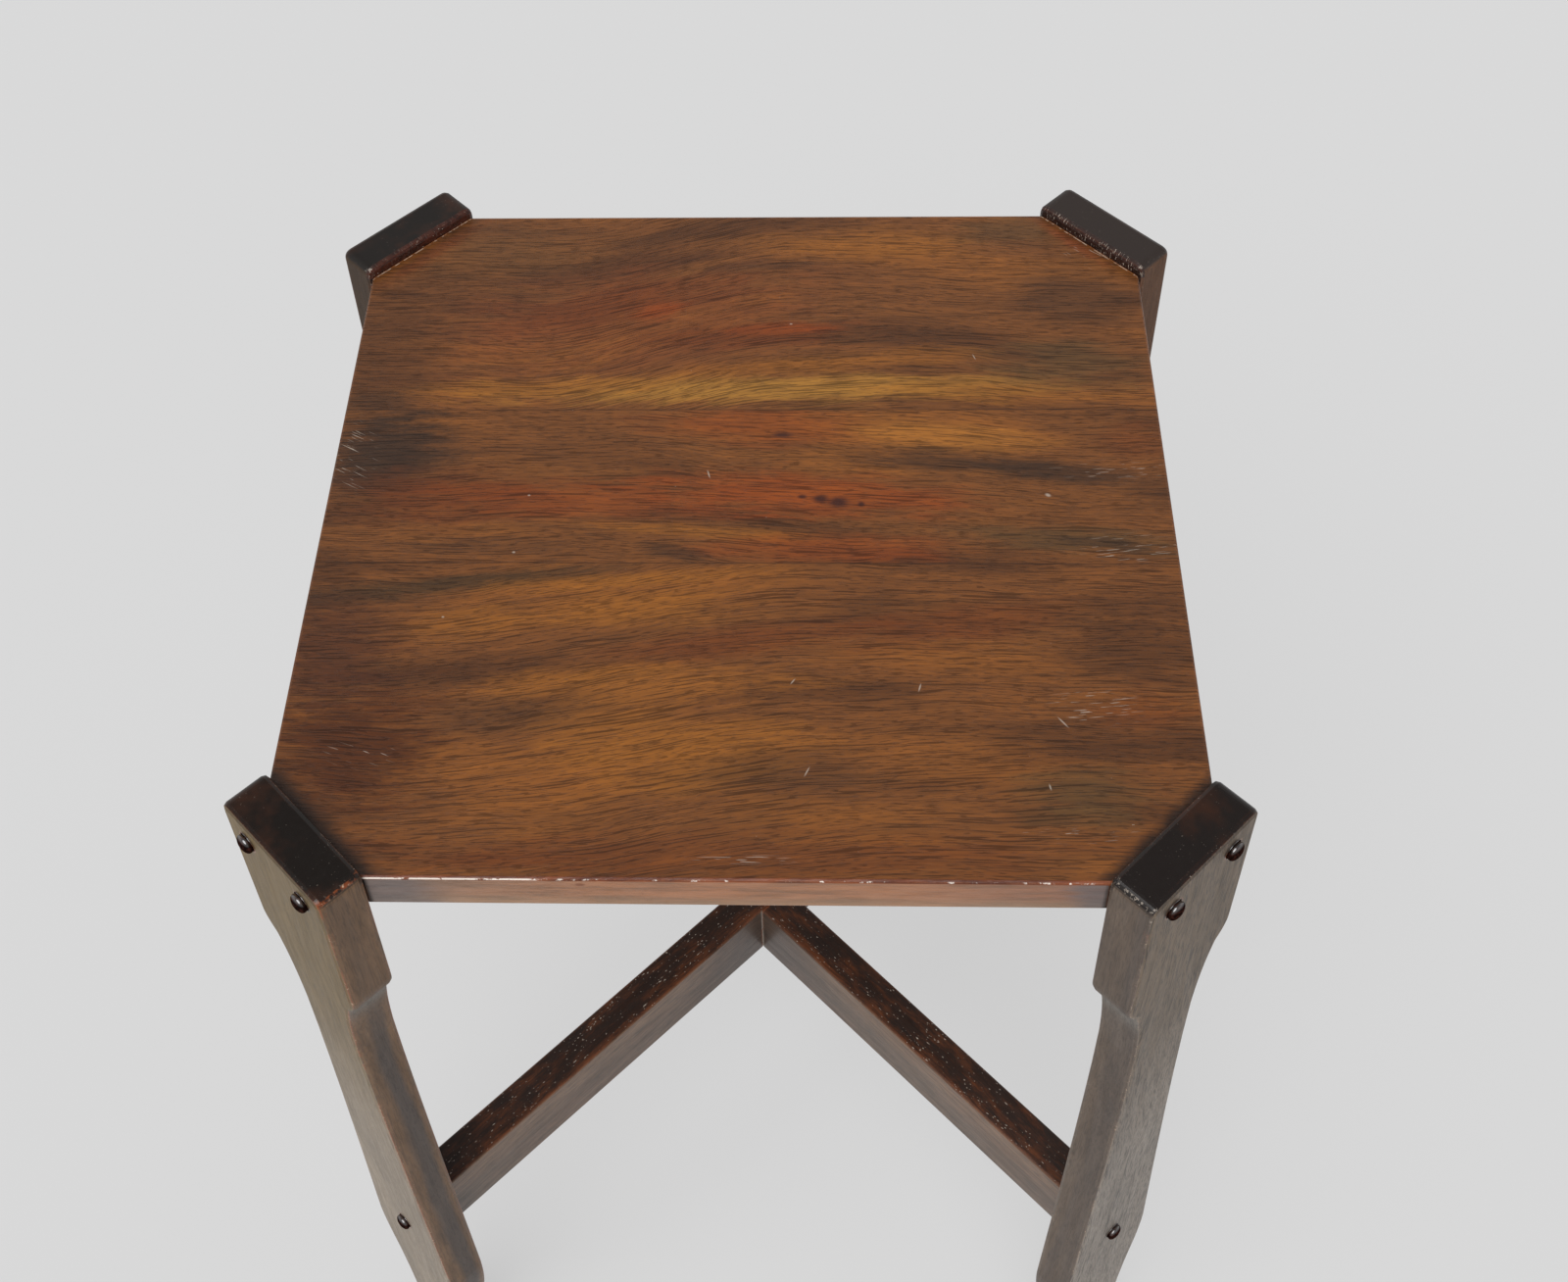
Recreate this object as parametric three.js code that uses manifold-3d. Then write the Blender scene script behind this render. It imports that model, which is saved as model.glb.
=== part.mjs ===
// A taboret: a small square table with clipped corners on four shaped board legs.
// Each leg stands on a diagonal with its wide face outwards, butted to a clipped corner of the top,
// and two stretchers, halved together under the middle, run along the diagonals from leg to leg.
// Screws hold the legs to the top and to the stretchers, and a domed plug closes each screw's hole.
// Millimetres, +Z up, the floor at z = 0, the middle of the top over the origin, the front at -Y.
import * as THREE from "three";
import { mergeVertices } from "three/addons/utils/BufferGeometryUtils.js";
import Module from "manifold-3d";

const wasm = await Module();
wasm.setup();

// Driving sizes of the whole table
const overallHeight = 609.6; // floor to the heads of the legs
const topSide = 406.4; // the top across its straight edges
const legLeanDegrees = 1.2; // each leg leans out towards its foot

// The top
const topThickness = 21.5;
const cornerCut = 48; // taken off each side of the square at a corner
const topArris = 1.3; // easing of the top's long edges
const middleBoardWidth = 97;
const frontBoardWidth = 167; // the back board takes the rest

// The legs: a drop is measured down from the head, a height up from the floor
const legWidth = 71.4; // the board's full width, at the block and again at the hip
const legThickness = 22.8;
const headRise = 6; // the head stands proud of the top
const headCorner = 5.5; // rounding of the head's two upper corners
const legArris = 2.4; // rounding of the edges, worn by use
const blockLength = 88; // straight sides before the shoulder
const shoulderRound = 8; // rounding under the block
const creaseDrop = 103.5; // where the rounding meets the hollow
const creaseWidth = 57.6;
const waistDrop = 157; // the narrowest place
const waistWidth = 43.2;
const hipHeight = 161.6; // the widest place of the swell
const footHeight = 43.6; // below this the leg runs straight
const footWidth = 46;

// The stretchers
const stretcherHeight = 48;
const stretcherThickness = 22;
const stretcherArris = 1.6;
const stretcherTop = 226.1; // the stretchers' upper edge above the floor

// Screws and plugs
const plugSpacing = 39.6; // between the two plugs at a leg's head
const plugDrop = 8.4; // the upper plugs' centres below the surface of the top
const plugDiameter = 9.5;
const plugLip = 0.5; // the plug's straight side that shows
const domeRise = 2;
const boreDepth = 7.6; // counterbore that the plug closes
const shankDiameter = 4.2;
const screwHeadDiameter = 8.2;
const screwHeadRim = 0.6;
const screwTip = 5;
const screwLength = 38;
const screwHeadDegrees = 82; // the cone under the head
const slotWidth = 1.1;
const slotDepth = 0.9;

// Fits and working values
const fitGap = 0.3; // clearance between a piece and its neighbour
const overrun = 2; // how far a cutter passes the face that it opens
const weldTolerance = 0.001;
const curveSteps = 8;
const domeSteps = 5;
const arrisSteps = 2;
const roundSteps = 20;

// Shapes of the leg's curves, as shares of the stretch or of the width that each one spans
const hollowPullShare = 0.35; // how far down the hollow first stays close to the crease
const hollowInsetShare = 0.88; // how much of the step the hollow has made by then
const swellStartShare = 0.26;
const swellEndShare = 0.12;
const swellEndInsetShare = 0.14;
const hipRoundShare = 0.16;
const taperMiddleShare = 0.37;
const taperMiddleInsetShare = 0.4;
const taperEndShare = 0.68;
const taperEndInsetShare = 0.93;

// Places that follow from the sizes
const lean = Math.tan(THREE.MathUtils.degToRad(legLeanDegrees));
const topSurface = overallHeight - headRise;
const topUnderside = topSurface - topThickness;
const seatRadius = (topSide - cornerCut) / Math.SQRT2; // axis of the table to a clipped corner's face
const stretcherMiddle = stretcherTop - stretcherHeight / 2;
const plugRadius = plugDiameter / 2;
const boreRadius = plugRadius + fitGap;
const shankRadius = shankDiameter / 2;
const holeRadius = shankRadius + fitGap;
const screwHeadRadius = screwHeadDiameter / 2;
const coneSlope = Math.tan(THREE.MathUtils.degToRad(screwHeadDegrees / 2));
const coneDepth = (screwHeadRadius - shankRadius) / coneSlope;
const frontSeam = -topSide / 2 + frontBoardWidth;
const backSeam = frontSeam + middleBoardWidth;

// Materials
function timber(colour, roughness) {
  return new THREE.MeshStandardMaterial({ color: colour, roughness, metalness: 0 });
}
const topWood = timber(0x6b3f22, 0.42);
const legWood = timber(0x5a4a3c, 0.5);
const stretcherWood = timber(0x4a2c1a, 0.5);
const plugWood = timber(0x1c1411, 0.25);
const screwSteel = new THREE.MeshStandardMaterial({ color: 0x8d8d8b, roughness: 0.4, metalness: 1 });

// Solids from geometries, and back
function solidOf(geometry) {
  const bare = geometry.clone();
  bare.deleteAttribute("normal");
  bare.deleteAttribute("uv");
  const welded = mergeVertices(bare, weldTolerance);
  return new wasm.Manifold(
    new wasm.Mesh({
      numProp: 3,
      vertProperties: welded.attributes.position.array,
      triVerts: new Uint32Array(welded.index.array),
    }),
  );
}

function geometryOf(solid) {
  const mesh = solid.getMesh();
  const geometry = new THREE.BufferGeometry();
  geometry.setAttribute("position", new THREE.BufferAttribute(mesh.vertProperties, 3));
  geometry.setIndex(new THREE.BufferAttribute(mesh.triVerts, 1));
  geometry.computeVertexNormals();
  return geometry;
}

function piece(name, geometry, material) {
  const mesh = new THREE.Mesh(geometry, material);
  mesh.name = name;
  return mesh;
}

// A leg's own frame: +X points out from the table, +Y to the right of someone who faces the leg
// from outside, +Z up from the floor, and x = 0 is the seat, which is the corner's clipped face.
function seatOffset(height) {
  return lean * (topSurface - height);
}

function leaning() {
  return new THREE.Matrix4().set(1, 0, -lean, lean * topSurface, 0, 1, 0, 0, 0, 0, 1, 0, 0, 0, 0, 1);
}

function cornerMatrix(angle, clearance) {
  return new THREE.Matrix4()
    .makeRotationZ(angle)
    .multiply(new THREE.Matrix4().makeTranslation(seatRadius + clearance, 0, 0));
}

// Everything outwards of a leg's seat between two heights, to trim what butts against the leg
function beyondSeat(angle, low, high) {
  const deep = cornerCut * 2;
  const block = new THREE.BoxGeometry(deep, topSide, high - low + overrun * 2);
  block.translate(deep / 2, 0, (low + high) / 2);
  block.applyMatrix4(leaning());
  block.applyMatrix4(cornerMatrix(angle, 0));
  return solidOf(block);
}

// A turned solid on the leg's +X, from a profile of [radius, distance along the axis] points
function turned(profile) {
  const points = profile.map(([radius, along]) => new THREE.Vector2(radius, along));
  const geometry = new THREE.LatheGeometry(points, roundSteps);
  geometry.rotateZ(-Math.PI / 2);
  return geometry;
}

function at(geometry, fastener) {
  return geometry.translate(fastener.outerFace, fastener.across, fastener.height);
}

// The three fasteners of a leg, each named for where it goes
function fasteners() {
  const upper = topSurface - plugDrop;
  const places = [
    { name: "top_left", across: -plugSpacing / 2, height: upper },
    { name: "top_right", across: plugSpacing / 2, height: upper },
    { name: "stretcher", across: 0, height: stretcherMiddle },
  ];
  return places.map((place) => ({ ...place, outerFace: legThickness + seatOffset(place.height) }));
}

// The hole through a leg: counterbore, cone and shank hole, measured from the outer face
function boreCutter(fastener) {
  const through = -(legThickness + overrun);
  return at(
    turned([
      [0, through],
      [holeRadius, through],
      [holeRadius, -boreDepth - coneDepth],
      [screwHeadRadius + fitGap, -boreDepth],
      [boreRadius, -boreDepth],
      [boreRadius, overrun],
      [0, overrun],
    ]),
    fastener,
  );
}

// The pilot hole in whatever the leg is screwed to
function pilotCutter(fastener) {
  const deepest = -boreDepth - screwLength - fitGap;
  return at(
    turned([
      [0, deepest],
      [holeRadius, deepest + screwTip],
      [holeRadius, -legThickness + overrun],
      [0, -legThickness + overrun],
    ]),
    fastener,
  );
}

// Legs
function legSide() {
  const wide = legWidth / 2;
  const crease = creaseWidth / 2;
  const waist = waistWidth / 2;
  const foot = footWidth / 2;
  const hipDrop = overallHeight - hipHeight;
  const footDrop = overallHeight - footHeight;
  const hollow = waistDrop - creaseDrop;
  const swell = hipDrop - waistDrop;
  const taper = footDrop - hipDrop;
  const step = crease - waist;
  const gain = wide - waist;
  const loss = wide - foot;
  const side = new THREE.Path();
  side.moveTo(wide - headCorner, 0);
  side.quadraticCurveTo(wide, 0, wide, -headCorner);
  side.lineTo(wide, -blockLength);
  side.quadraticCurveTo(wide, -blockLength - shoulderRound, crease, -creaseDrop);
  side.quadraticCurveTo(
    crease - step * hollowInsetShare,
    -creaseDrop - hollow * hollowPullShare,
    waist,
    -waistDrop,
  );
  side.bezierCurveTo(
    waist,
    -waistDrop - swell * swellStartShare,
    wide - gain * swellEndInsetShare,
    -hipDrop + swell * swellEndShare,
    wide,
    -hipDrop,
  );
  side.quadraticCurveTo(
    wide,
    -hipDrop - taper * hipRoundShare,
    wide - loss * taperMiddleInsetShare,
    -hipDrop - taper * taperMiddleShare,
  );
  side.quadraticCurveTo(
    wide - loss * taperEndInsetShare,
    -hipDrop - taper * taperEndShare,
    foot,
    -footDrop,
  );
  side.lineTo(foot, -overallHeight + legArris);
  side.lineTo(foot - legArris, -overallHeight);
  return side.getPoints(curveSteps);
}

function legBoard() {
  const right = legSide();
  const left = right.map((point) => new THREE.Vector2(-point.x, point.y)).reverse();
  const board = new THREE.ExtrudeGeometry(new THREE.Shape([...right, ...left]), {
    depth: legThickness - legArris * 2,
    bevelThickness: legArris,
    bevelSize: legArris,
    bevelOffset: -legArris,
    bevelSegments: arrisSteps,
  });
  board.translate(0, overallHeight, legArris);
  const across = new THREE.Vector3(0, 1, 0);
  const up = new THREE.Vector3(0, 0, 1);
  const outwards = new THREE.Vector3(1, 0, 0);
  board.applyMatrix4(new THREE.Matrix4().makeBasis(across, up, outwards));
  board.applyMatrix4(leaning());
  return board;
}

function legGeometry() {
  let leg = solidOf(legBoard());
  for (const fastener of fasteners()) {
    leg = leg.subtract(solidOf(boreCutter(fastener)));
  }
  return geometryOf(leg);
}

// Screws and plugs, each measured in from the leg's outer face
function screwGeometry(fastener) {
  const rim = -boreDepth + fitGap;
  const headTop = rim + screwHeadRim;
  const tip = headTop - screwLength;
  const blank = turned([
    [0, tip],
    [shankRadius, tip + screwTip],
    [shankRadius, rim - coneDepth],
    [screwHeadRadius, rim],
    [screwHeadRadius, headTop],
    [0, headTop],
  ]);
  const slot = new THREE.BoxGeometry(slotDepth * 2, screwHeadDiameter + overrun * 2, slotWidth);
  slot.translate(headTop, 0, 0);
  return at(geometryOf(solidOf(blank).subtract(solidOf(slot))), fastener);
}

function plugGeometry(fastener) {
  const inner = -boreDepth + screwHeadRim + fitGap * 2;
  const dome = Array.from({ length: domeSteps }, (_, step) => {
    const turn = (step / domeSteps) * (Math.PI / 2);
    return [plugRadius * Math.cos(turn), plugLip + domeRise * Math.sin(turn)];
  });
  return at(turned([[0, inner], [plugRadius, inner], ...dome, [0, plugLip + domeRise]]), fastener);
}

function legGroup(corner) {
  const group = new THREE.Group();
  group.add(piece("leg_" + corner.name, legGeometry(), legWood));
  for (const fastener of fasteners()) {
    group.add(piece(corner.name + "_screw_" + fastener.name, screwGeometry(fastener), screwSteel));
    group.add(piece(corner.name + "_plug_" + fastener.name, plugGeometry(fastener), plugWood));
  }
  group.rotation.z = corner.angle;
  group.position.set(
    Math.cos(corner.angle) * (seatRadius + fitGap),
    Math.sin(corner.angle) * (seatRadius + fitGap),
    0,
  );
  return group;
}

// Pilot holes of a corner for the fasteners that end at a given height
function pilots(corner, wanted) {
  return fasteners()
    .filter(wanted)
    .map((fastener) => {
      const cutter = pilotCutter(fastener);
      cutter.applyMatrix4(cornerMatrix(corner.angle, fitGap));
      return solidOf(cutter);
    });
}

// The top
function topSlab() {
  const half = topSide / 2;
  const square = new THREE.Shape();
  square.moveTo(-half, -half);
  square.lineTo(half, -half);
  square.lineTo(half, half);
  square.lineTo(-half, half);
  const slab = new THREE.ExtrudeGeometry(square, {
    depth: topThickness - topArris * 2,
    bevelThickness: topArris,
    bevelSize: topArris,
    bevelOffset: -topArris,
    bevelSegments: arrisSteps,
  });
  slab.translate(0, 0, topUnderside + topArris);
  return solidOf(slab);
}

function clippedTop() {
  let top = topSlab();
  for (const corner of corners) {
    top = top.subtract(beyondSeat(corner.angle, topUnderside, topSurface));
    for (const pilot of pilots(corner, (fastener) => fastener.height > topUnderside)) {
      top = top.subtract(pilot);
    }
  }
  return top;
}

function topBoards() {
  const whole = clippedTop();
  const outside = topSide / 2 + overrun;
  const boards = [
    { name: "top_board_front", near: -outside, far: frontSeam },
    { name: "top_board_middle", near: frontSeam, far: backSeam },
    { name: "top_board_back", near: backSeam, far: outside },
  ];
  return boards.map(({ name, near, far }) => {
    const slice = new THREE.BoxGeometry(outside * 2, far - near, topThickness + overrun * 2);
    slice.translate(0, (near + far) / 2, topSurface - topThickness / 2);
    return piece(name, geometryOf(whole.intersect(solidOf(slice))), topWood);
  });
}

// The stretchers
function stretcherBlank(length) {
  const w = stretcherThickness / 2;
  const h = stretcherHeight / 2;
  const r = stretcherArris;
  const section = new THREE.Shape();
  section.moveTo(-w + r, -h);
  section.lineTo(w - r, -h);
  section.absarc(w - r, -h + r, r, -Math.PI / 2, 0);
  section.lineTo(w, h - r);
  section.absarc(w - r, h - r, r, 0, Math.PI / 2);
  section.lineTo(-w + r, h);
  section.absarc(-w + r, h - r, r, Math.PI / 2, Math.PI);
  section.lineTo(-w, -h + r);
  section.absarc(-w + r, -h + r, r, Math.PI, Math.PI * 1.5);
  const bar = new THREE.ExtrudeGeometry(section, {
    depth: length,
    bevelEnabled: false,
    curveSegments: arrisSteps,
  });
  bar.translate(0, 0, -length / 2);
  const across = new THREE.Vector3(0, 1, 0);
  const up = new THREE.Vector3(0, 0, 1);
  const along = new THREE.Vector3(1, 0, 0);
  bar.applyMatrix4(new THREE.Matrix4().makeBasis(across, up, along));
  bar.translate(0, 0, stretcherMiddle);
  return bar;
}

// The notch is half of the bar's height, and opens upwards or downwards
function halvingNotch(opensUp) {
  const side = opensUp ? 1 : -1;
  const height = stretcherHeight / 2 + overrun;
  const wide = stretcherThickness + fitGap * 2;
  const notch = new THREE.BoxGeometry(wide, stretcherThickness + overrun * 2, height);
  notch.translate(0, 0, stretcherMiddle + side * (height / 2 - fitGap / 2));
  return notch;
}

function stretcher(name, ends, opensUp) {
  const low = stretcherTop - stretcherHeight;
  const length = (seatRadius + cornerCut) * 2;
  const blank = stretcherBlank(length);
  const notch = halvingNotch(opensUp);
  for (const geometry of [blank, notch]) {
    geometry.rotateZ(ends[0].angle);
  }
  let bar = solidOf(blank).subtract(solidOf(notch));
  for (const corner of ends) {
    bar = bar.subtract(beyondSeat(corner.angle, low, stretcherTop));
    for (const pilot of pilots(corner, (fastener) => fastener.height < stretcherTop)) {
      bar = bar.subtract(pilot);
    }
  }
  return piece(name, geometryOf(bar), stretcherWood);
}

// The whole table
const corners = [
  { name: "back_right", angle: Math.PI / 4 },
  { name: "back_left", angle: (Math.PI * 3) / 4 },
  { name: "front_left", angle: (Math.PI * 5) / 4 },
  { name: "front_right", angle: (Math.PI * 7) / 4 },
];

const taboret = new THREE.Group();
taboret.add(...topBoards());
taboret.add(stretcher("stretcher_over", [corners[0], corners[2]], false));
taboret.add(stretcher("stretcher_under", [corners[1], corners[3]], true));
taboret.add(...corners.map(legGroup));

export default taboret;
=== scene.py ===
# %% [markdown]
# # A taboret in old dark finish
#
# The table is a square top with clipped corners on four shaped board legs, tied by crossed stretchers.
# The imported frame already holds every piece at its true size, so this script gives the pieces their
# surfaces, turns fuller domes for the plugs, sets the table on a pale floor in soft light, and looks at
# it from the photograph's side. All of the looks are procedural: wood figure, open pores, worn edges,
# dust and old scratches.

# %% Load the frame
import math

import bmesh
import bpy
from mathutils import Matrix, Vector


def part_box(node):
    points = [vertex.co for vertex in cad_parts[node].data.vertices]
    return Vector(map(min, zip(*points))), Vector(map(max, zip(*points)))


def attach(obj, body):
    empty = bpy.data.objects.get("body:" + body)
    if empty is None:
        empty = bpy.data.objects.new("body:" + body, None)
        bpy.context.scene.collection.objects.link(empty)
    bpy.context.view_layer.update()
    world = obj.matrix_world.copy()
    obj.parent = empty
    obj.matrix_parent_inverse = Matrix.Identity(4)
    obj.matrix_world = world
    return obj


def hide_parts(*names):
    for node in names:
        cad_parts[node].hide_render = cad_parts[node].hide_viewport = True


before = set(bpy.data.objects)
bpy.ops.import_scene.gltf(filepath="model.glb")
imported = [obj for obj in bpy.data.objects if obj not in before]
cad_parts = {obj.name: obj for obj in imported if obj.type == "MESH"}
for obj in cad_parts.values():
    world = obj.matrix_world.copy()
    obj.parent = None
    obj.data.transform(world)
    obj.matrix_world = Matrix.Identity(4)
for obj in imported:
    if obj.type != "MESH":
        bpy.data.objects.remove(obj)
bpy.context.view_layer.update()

NODES = sorted(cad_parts)

# %% [markdown]
# ## Measures
#
# The materials have to know where things are: where the seams between the top's boards run, how high
# the top is, and how far out the legs stand. What the pieces' own boxes can tell is read from them, so
# that it isn't typed twice. The rest, such as the lean of the legs or the drop from the head of a leg to
# its shoulder, is given here as a size.

# %% Places on the table
MM = 0.001
DIAGONAL = math.sqrt(0.5)


def box_of(node):
    low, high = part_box(node)
    return Vector(low), Vector(high)


def middle_of(node):
    low, high = box_of(node)
    return (low + high) / 2


TOP_LOW, TOP_HIGH = box_of("top_board_middle")
TOP_Z = TOP_HIGH.z
FRONT_SEAM = TOP_LOW.y
BACK_SEAM = TOP_HIGH.y
HALF_TOP = TOP_HIGH.x
HEAD_Z = box_of("leg_front_right")[1].z
STRETCHER_TOP = box_of("stretcher_over")[1].z
STRETCHER_THICKNESS = 22 * MM
CORNER_CUT = 48 * MM
SEAT = (2 * HALF_TOP - CORNER_CUT) * DIAGONAL
LEG_THICKNESS = 22.8 * MM
LEG_LEAN = math.tan(math.radians(1.2))
SHOULDER_DROP = 96 * MM
CREASE_DROP = 103.5 * MM
PLUG_RADIUS = 4.75 * MM
PLUG_MIDDLE = middle_of("front_right_plug_top_left")
PLUG_ASIDE = abs(abs(PLUG_MIDDLE.x) - abs(PLUG_MIDDLE.y)) * DIAGONAL
LOW_PLUG_Z = middle_of("front_right_plug_stretcher").z
print("top at", round(TOP_Z, 4), "seams at", round(FRONT_SEAM, 4), round(BACK_SEAM, 4))
print("seats at", round(SEAT, 4), "from the table's axis")

# %% [markdown]
# ## A small vocabulary for shader trees
#
# Shader trees are easier to read when a node is one call. `Tree` wraps a node tree: `add` makes a node,
# the short methods make the common ones, and any argument may be a plain value or another node's socket.
# `rise` and `fall` make soft masks, `vary` and `sway` turn a noise into a factor or a push, and `paint`
# lays a tone over a colour where its masks allow.

# %% One call for each node
class Tree:
    def __init__(self, tree):
        self.tree = tree

    def add(self, kind, inputs=None, **settings):
        node = self.tree.nodes.new(kind)
        for name, value in settings.items():
            setattr(node, name, value)
        for name, value in (inputs or {}).items():
            self.feed(node.inputs[name], value)
        return node

    def feed(self, socket, value):
        if isinstance(value, bpy.types.NodeSocket):
            self.tree.links.new(value, socket)
        else:
            socket.default_value = value

    def use(self, group, inputs=None):
        node = self.add("ShaderNodeGroup", node_tree=group)
        for name, value in (inputs or {}).items():
            self.feed(node.inputs[name], value)
        return node.outputs

    def math(self, operation, *values, clamp=False):
        """A math node, or a chain of them when there are more than two values."""
        result = values[0]
        for value in values[1:] or [0.0]:
            inputs = {0: result, 1: value}
            result = self.add("ShaderNodeMath", inputs, operation=operation, use_clamp=clamp).outputs[0]
        return result

    def plus(self, *values):
        return self.math("ADD", *values)

    def minus(self, a, b):
        return self.math("SUBTRACT", a, b)

    def times(self, *values):
        return self.math("MULTIPLY", *values)

    def most(self, *values):
        return self.math("MAXIMUM", *values)

    def size(self, value):
        return self.math("ABSOLUTE", value)

    def invert(self, value):
        return self.minus(1.0, value)

    def vector(self, operation, a, b=(0.0, 0.0, 0.0), scale=None):
        node = self.add("ShaderNodeVectorMath", {0: a, 1: b}, operation=operation)
        if scale is not None:
            self.feed(node.inputs["Scale"], scale)
        return node.outputs["Value" if operation in ("DOT_PRODUCT", "LENGTH") else "Vector"]

    def split(self, vector):
        return self.add("ShaderNodeSeparateXYZ", {0: vector}).outputs

    def join(self, x, y, z):
        return self.add("ShaderNodeCombineXYZ", {0: x, 1: y, 2: z}).outputs[0]

    def turn(self, vector, angle):
        inputs = {"Vector": vector, "Angle": angle}
        return self.add("ShaderNodeVectorRotate", inputs, rotation_type="Z_AXIS").outputs[0]

    def point(self):
        """The place on the table, in metres."""
        return self.add("ShaderNodeTexCoord").outputs["Object"]

    def facing(self):
        """The way that the flat face looks, before any smoothing."""
        return self.add("ShaderNodeNewGeometry").outputs["True Normal"]

    def noise(self, vector, stretch, detail=3.0, roughness=0.5):
        """Noise with its number of features to the metre, the same or its own along each axis."""
        if isinstance(stretch, float):
            stretch = (stretch, stretch, stretch)
        point = self.vector("MULTIPLY", vector, stretch)
        inputs = {"Vector": point, "Scale": 1.0, "Detail": detail, "Roughness": roughness}
        return self.add("ShaderNodeTexNoise", inputs).outputs[0]

    def span(self, value, low, high, to_low, to_high):
        """A soft step from one value to another."""
        inputs = {0: value, 1: low, 2: high, 3: to_low, 4: to_high}
        return self.add("ShaderNodeMapRange", inputs, interpolation_type="SMOOTHSTEP").outputs[0]

    def rise(self, value, low, high):
        return self.span(value, low, high, 0.0, 1.0)

    def fall(self, value, low, high):
        return self.span(value, low, high, 1.0, 0.0)

    def between(self, mask, at_none, at_full):
        """One value where a mask is 0, another where it is 1."""
        return self.span(mask, 0.0, 1.0, at_none, at_full)

    def vary(self, noise, to_low=0.0, to_high=1.0, reach=0.2):
        """A factor that follows a noise, which seldom strays further than the reach from a half."""
        return self.span(noise, 0.5 - reach, 0.5 + reach, to_low, to_high)

    def sway(self, noise, amount):
        """A noise turned into a push to both sides, half of the amount each way."""
        return self.times(self.minus(noise, 0.5), amount)

    def mix(self, factor, a, b):
        return self.add("ShaderNodeMix", {0: factor, 6: a, 7: b}, data_type="RGBA").outputs[2]

    def paint(self, colour, tone, *masks):
        """The tone laid over the colour, as strongly as the masks together say."""
        return self.mix(self.times(*masks) if len(masks) > 1 else masks[0], colour, tone)

    def shade(self, colour, amount):
        """The colour made lighter or darker by a factor."""
        return self.vector("SCALE", colour, scale=amount)

    def ramp(self, factor, stops):
        node = self.add("ShaderNodeValToRGB", {0: factor})
        elements = node.color_ramp.elements
        while len(elements) < len(stops):
            elements.new(0.5)
        for element, (place, colour) in zip(elements, stops):
            element.position = place
            element.color = colour
        return node.outputs[0]


print("shader vocabulary ready")

# %% [markdown]
# ### Groups and colours
#
# Each effect that more than one material uses, such as pores, worn edges or specks, becomes one node
# group with named inputs and outputs, and its tree is written in the same words as a material's. The
# colours in this script are given as they read on screen, because that is how they are compared with
# the photograph, and shaders want them linear.

# %% Helpers for groups and colours
def cleared_tree(owner):
    """The empty shader tree of a material or a world."""
    owner.use_nodes = True
    owner.node_tree.nodes.clear()
    return Tree(owner.node_tree)


def new_group(name, inputs, outputs):
    """A node group with plain sockets: each input is a name, a kind and a default value."""
    group = bpy.data.node_groups.new(name, "ShaderNodeTree")
    for label, kind, default in inputs:
        socket = group.interface.new_socket(label, in_out="INPUT", socket_type="NodeSocket" + kind)
        if default is not None:
            socket.default_value = default
    for label, kind in outputs:
        group.interface.new_socket(label, in_out="OUTPUT", socket_type="NodeSocket" + kind)
    tree = Tree(group)
    arriving = tree.add("NodeGroupInput").outputs
    leaving = tree.add("NodeGroupOutput").inputs
    return group, tree, arriving, leaving


def srgb(red, green, blue):
    """A colour as it reads on screen, 0 to 255, turned into the linear values that shaders use."""
    def linear(value):
        share = value / 255
        return share / 12.92 if share <= 0.04045 else ((share + 0.055) / 1.055) ** 2.4

    return (linear(red), linear(green), linear(blue), 1.0)


print("a middle grey of 128 is", round(srgb(128, 128, 128)[0], 3), "in linear light")

# %% [markdown]
# ## Wood figure
#
# A flat-sawn board shows three things at once. Broad bands of light and dark come from the growth of
# the tree, fine streaks come from the fibres, and short dark dashes are the open pores that stain
# settles in. All of them are long with the grain and narrow across it, so the group stretches plain
# noise: it takes points in metres with the grain along X and squeezes them before it asks the noise.
# Where a board was cut beside a knot the grain climbs from one side to the other, and `Rise` is how
# far it climbs between two places along the board.

# %% The figure group
WANDER = 22 * MM
FIGURE_NOISES = {
    "Bands": ((6.0, 34.0, 34.0), 3.0, 0.5),
    "Streaks": ((22.0, 260.0, 260.0), 5.0, 0.65),
    "Fibres": ((50.0, 850.0, 850.0), 4.0, 0.7),
}


def make_figure_group():
    inputs = [
        ("Point", "Vector", None),
        ("Seed", "Float", 0.0),
        ("Rise from", "Float", 0.0),
        ("Rise to", "Float", 1.0),
        ("Rise", "Float", 0.0),
    ]
    outputs = [("Grain", "Vector")] + [(name, "Float") for name in (*FIGURE_NOISES, "Pores")]
    group, tree, arriving, leaving = new_group("wood figure", inputs, outputs)
    seeded = tree.vector("ADD", arriving["Point"], tree.join(0.0, 0.0, arriving["Seed"]))
    x, y, z = tree.split(seeded)
    climb = tree.span(x, arriving["Rise from"], arriving["Rise to"], 0.0, arriving["Rise"])
    drift = tree.sway(tree.noise(seeded, (6.0, 11.0, 11.0), 2.0), WANDER)
    grain = tree.join(x, tree.minus(tree.plus(y, drift), climb), z)
    tree.feed(leaving["Grain"], grain)
    for name, (stretch, detail, roughness) in FIGURE_NOISES.items():
        tree.feed(leaving[name], tree.noise(grain, stretch, detail, roughness))
    crowd = tree.sway(tree.noise(grain, (14.0, 60.0, 60.0), 2.0), 0.3)
    dashes = tree.plus(tree.noise(grain, (150.0, 1700.0, 1700.0), 1.0, 0.4), crowd)
    hairs = tree.minus(tree.noise(grain, (50.0, 1500.0, 1500.0), 1.0, 0.4), crowd)
    pores = tree.most(tree.span(dashes, 0.57, 0.63, 0.0, 0.8), tree.rise(hairs, 0.575, 0.64))
    tree.feed(leaving["Pores"], pores)
    return group


FIGURE = make_figure_group()
print("wood figure:", len(FIGURE.nodes), "nodes")

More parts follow.
